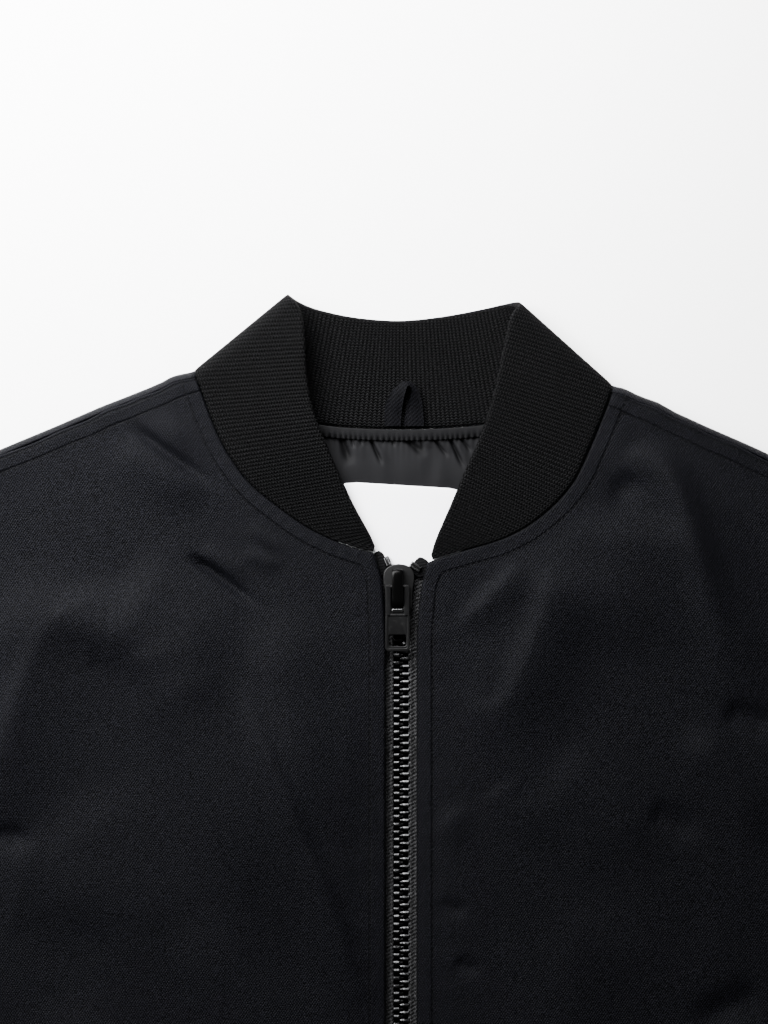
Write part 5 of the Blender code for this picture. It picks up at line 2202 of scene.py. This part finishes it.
# %% Pull tab
def pull_tab():
    """A fork on its pin, with a raised rim round the bare plate and the window."""
    slot_half = CROWN_HALF + 0.35
    outline = fork_outline(TAB_HALF, TAB_LOW_Y, TAB_TOP_Y, slot_half, TAB_SLOT_Y, TAB_ROUND)
    half, low, high = TAB_WINDOW
    window = rounded_rectangle(CROWN_X - half, CROWN_X + half, low, high, 0.9)[::-1]
    thin = (TAB_Z[0], TAB_Z[1] - 0.35)
    parts = [plate("tab", [outline, window], *thin, 0.4, slider_paint)]
    raised = (TAB_Z[0] + TAB_RISE, TAB_Z[1])
    tab_x = (CROWN_X - TAB_HALF, CROWN_X + TAB_HALF)
    rim_out = rounded_rectangle(*tab_x, TAB_LOW_Y, TAB_RIM_Y, TAB_ROUND)
    rim_in = rounded_rectangle(
        tab_x[0] + TAB_BORDER,
        tab_x[1] - TAB_BORDER,
        TAB_LOW_Y + TAB_BORDER + 0.3,
        TAB_RIM_Y - TAB_BORDER * 0.8,
        0.9,
    )[::-1]
    parts.append(plate("rim", [rim_out, rim_in], *raised, 0.35, slider_paint))
    for side in (-1, 1):
        near, far = sorted((CROWN_X + side * (slot_half + 0.25), CROWN_X + side * (TAB_HALF - 0.1)))
        arm = rounded_rectangle(near, far, ARM_Y, TAB_TOP_Y - 0.2, 0.7)
        parts.append(plate("arm", [arm], *raised, 0.35, slider_paint))
    lip = rounded_rectangle(CROWN_X - slot_half, CROWN_X + slot_half, *TAB_LIP_Y, 0.9)
    parts.append(plate("lip", [lip], *TAB_LIP_Z, 0.8, stop_metal))
    parts.append(tab_pin())
    return together("painted_tab", parts)


tab = pull_tab()
told(tab)

# %% [markdown]
# ### Stops, tape ends and retainer box
#
# A stop is clamped over the end of each tape, so that the slider can't leave the chain.
# It is two rounded jaws with a groove between them. Past it, the end of the tape is
# folded back on itself. The stops lie at a slant on soft tape, and no two lie alike, so
# each row of the table has its own turn and slope. The box at the hem is a plain block.

# %% Top stops
JAW_LOW_Z = 9.0
JAW_HIGH_Z = 11.1
GROOVE_Z = 10.6
JAW_ROUND = 0.6
STOPS = table(
    "name x y turn slope long wide",
    ("left", -6.5, 228.7, radians(-66), (0.13, -0.22), 4.7, 2.8),
    ("right", 6.9, 226.0, radians(-32), (0.04, -0.12), 5.6, 3.2),
)


def top_stop(row):
    """A clamped stop: two rounded jaws with a groove between them."""
    half_long, half_wide = 0.5 * row["long"], 0.5 * row["wide"]
    jaws = (
        (-half_wide, -0.1, JAW_HIGH_Z),
        (-0.4, 0.4, GROOVE_Z),
        (0.1, half_wide, JAW_HIGH_Z),
    )
    parts = []
    for start, end, high in jaws:
        outline = rounded_rectangle(-half_long, half_long, start, end, 0.38)
        parts.append(plate("jaw", [outline], JAW_LOW_Z, high, JAW_ROUND, stop_metal))
    obj = together(f"stop_{row['name']}", parts)
    points = coordinates(obj)
    spin = np.array(
        ((cos(row["turn"]), -sin(row["turn"])), (sin(row["turn"]), cos(row["turn"])))
    )
    points[:, :2] = points[:, :2] @ spin.T
    points[:, 2] += points[:, :2] @ np.array(row["slope"])
    points[:, :2] += np.array((row["x"], row["y"]))
    set_coordinates(obj, points)
    told(obj)
    return obj


stops = {row["name"]: top_stop(row) for row in STOPS}

# %% Folded ends of the tapes
TAPE_END_Z = (8.3, 9.6)
TAPE_END_ROUND = 0.55
TAPE_ENDS = table(
    "name outline",
    (
        "left",
        [(-13.2, 231.0), (-12.4, 233.0), (-10.1, 233.6), (-8.0, 231.4)]
        + [(-6.9, 227.0), (-8.0, 222.0), (-11.0, 222.6)],
    ),
    (
        "right",
        [(5.4, 227.3), (8.7, 230.6), (11.9, 229.6), (13.2, 227.2)]
        + [(11.5, 222.0), (8.4, 221.0), (5.8, 223.0)],
    ),
)


def tape_end(row):
    """The end of the tape, folded over beside the stop."""
    outline = Path(row["outline"] + row["outline"][:1]).points[:-1]
    x, y = outline.T
    if np.sum(x * np.roll(y, -1) - np.roll(x, -1) * y) < 0:
        outline = outline[::-1]
    name = f"tape_end_{row['name']}"
    obj = plate(name, [outline], *TAPE_END_Z, TAPE_END_ROUND, tape_end_painted_darker)
    told(obj)
    return obj


tape_ends = {row["name"]: tape_end(row) for row in TAPE_ENDS}

# %% Retainer box at the hem
BOX_X = (-4.5, 4.5)
BOX_Y = (-354.0, -341.5)
BOX_Z = (5.0, 10.3)

box_outline = rounded_rectangle(*BOX_X, *BOX_Y, 1.2)
retainer = plate("retainer_box", [box_outline], *BOX_Z, 0.8, slider_paint)
told(retainer)

# %% [markdown]
# ## Putting it on the solids
#
# Every piece rides on the solids' body that it belongs to and stands for its solid. The
# tab is on its own body, because it swings on the crown's pin. Then the size that each
# cloth piece was cut to is printed beside the size of the piece as made.


# %% Riding and replacing
TAB_BODY = "pull_tab"


def worn_by(obj, body, slot, *replaced):
    """Puts a finished piece on its body, in place of the solids it stands for."""
    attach(obj, body)
    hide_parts(*replaced)
    print(obj.name, "on", body, "for", replaced or "no solid")


worn_by(ribbed_collar, BODY, "rib_knit", "collar")
worn_by(fronts[-1], BODY, "shell", "front_left")
worn_by(fronts[1], BODY, "shell", "front_right")
worn_by(back, BODY, "shell", "back")
for side, where in ((-1, "left"), (1, "right")):
    worn_by(stitches[side], BODY, "shell")
    worn_by(tapes[side], BODY, "tape", f"zip_tape_{where}")
    worn_by(stops[where], BODY, "zip_metal", f"zip_stop_{where}")
    worn_by(tape_ends[where], BODY, "tape")
worn_by(gathered_lining, BODY, "lining", "back_lining")
worn_by(gathered_binding, BODY, "binding", "neck_binding")
worn_by(label_bare, BODY, "label", "label")
worn_by(tape_loop, BODY, "tape", "hanger_loop")
worn_by(teeth, BODY, "zip_teeth", "zip_chain")
worn_by(retainer, BODY, "zip_metal", "zip_box")
worn_by(slider, BODY, "zip_metal", "zip_slider")
worn_by(tab, TAB_BODY, "zip_metal", "pull_tab")


# %% The size that each cloth piece was cut to
def half_surface(obj):
    """One side of a thin closed wall, in square metres."""
    return 0.5 * sum(face.area for face in obj.data.polygons)


CUTS = table(
    "sheet wide long area held rests_on with_pieces",
    (fronts[-1], 0.3, 0.69, 0.158, "laid", ["shell_back"], [stitches[-1]]),
    (fronts[1], 0.3, 0.69, 0.156, "laid", ["shell_back"], [stitches[1]]),
    (back, 0.62, 0.7, 0.335, "laid", ["pale_surface"], []),
    (ribbed_collar, SEAM.length * MM, 0.0535, None, "folded", ["shell_back"], [tape_loop]),
    (gathered_lining, 0.135, 0.064, None, "gathered", ["shell_back"], [gathered_binding]),
    (label_bare, 0.059, 0.039, None, "laid", ["gathered_lining"], []),
    (tapes[-1], 0.0115, 0.583, None, "laid", ["shell_back"], [tape_ends["left"]]),
    (tapes[1], 0.0115, 0.583, None, "laid", ["shell_back"], [tape_ends["right"]]),
)
for row in CUTS:
    cut = row["area"] or row["wide"] * row["long"]
    made = half_surface(row["sheet"])
    print(row["sheet"].name, "cut", round(cut, 4), "made", round(made, 4), "square metres")
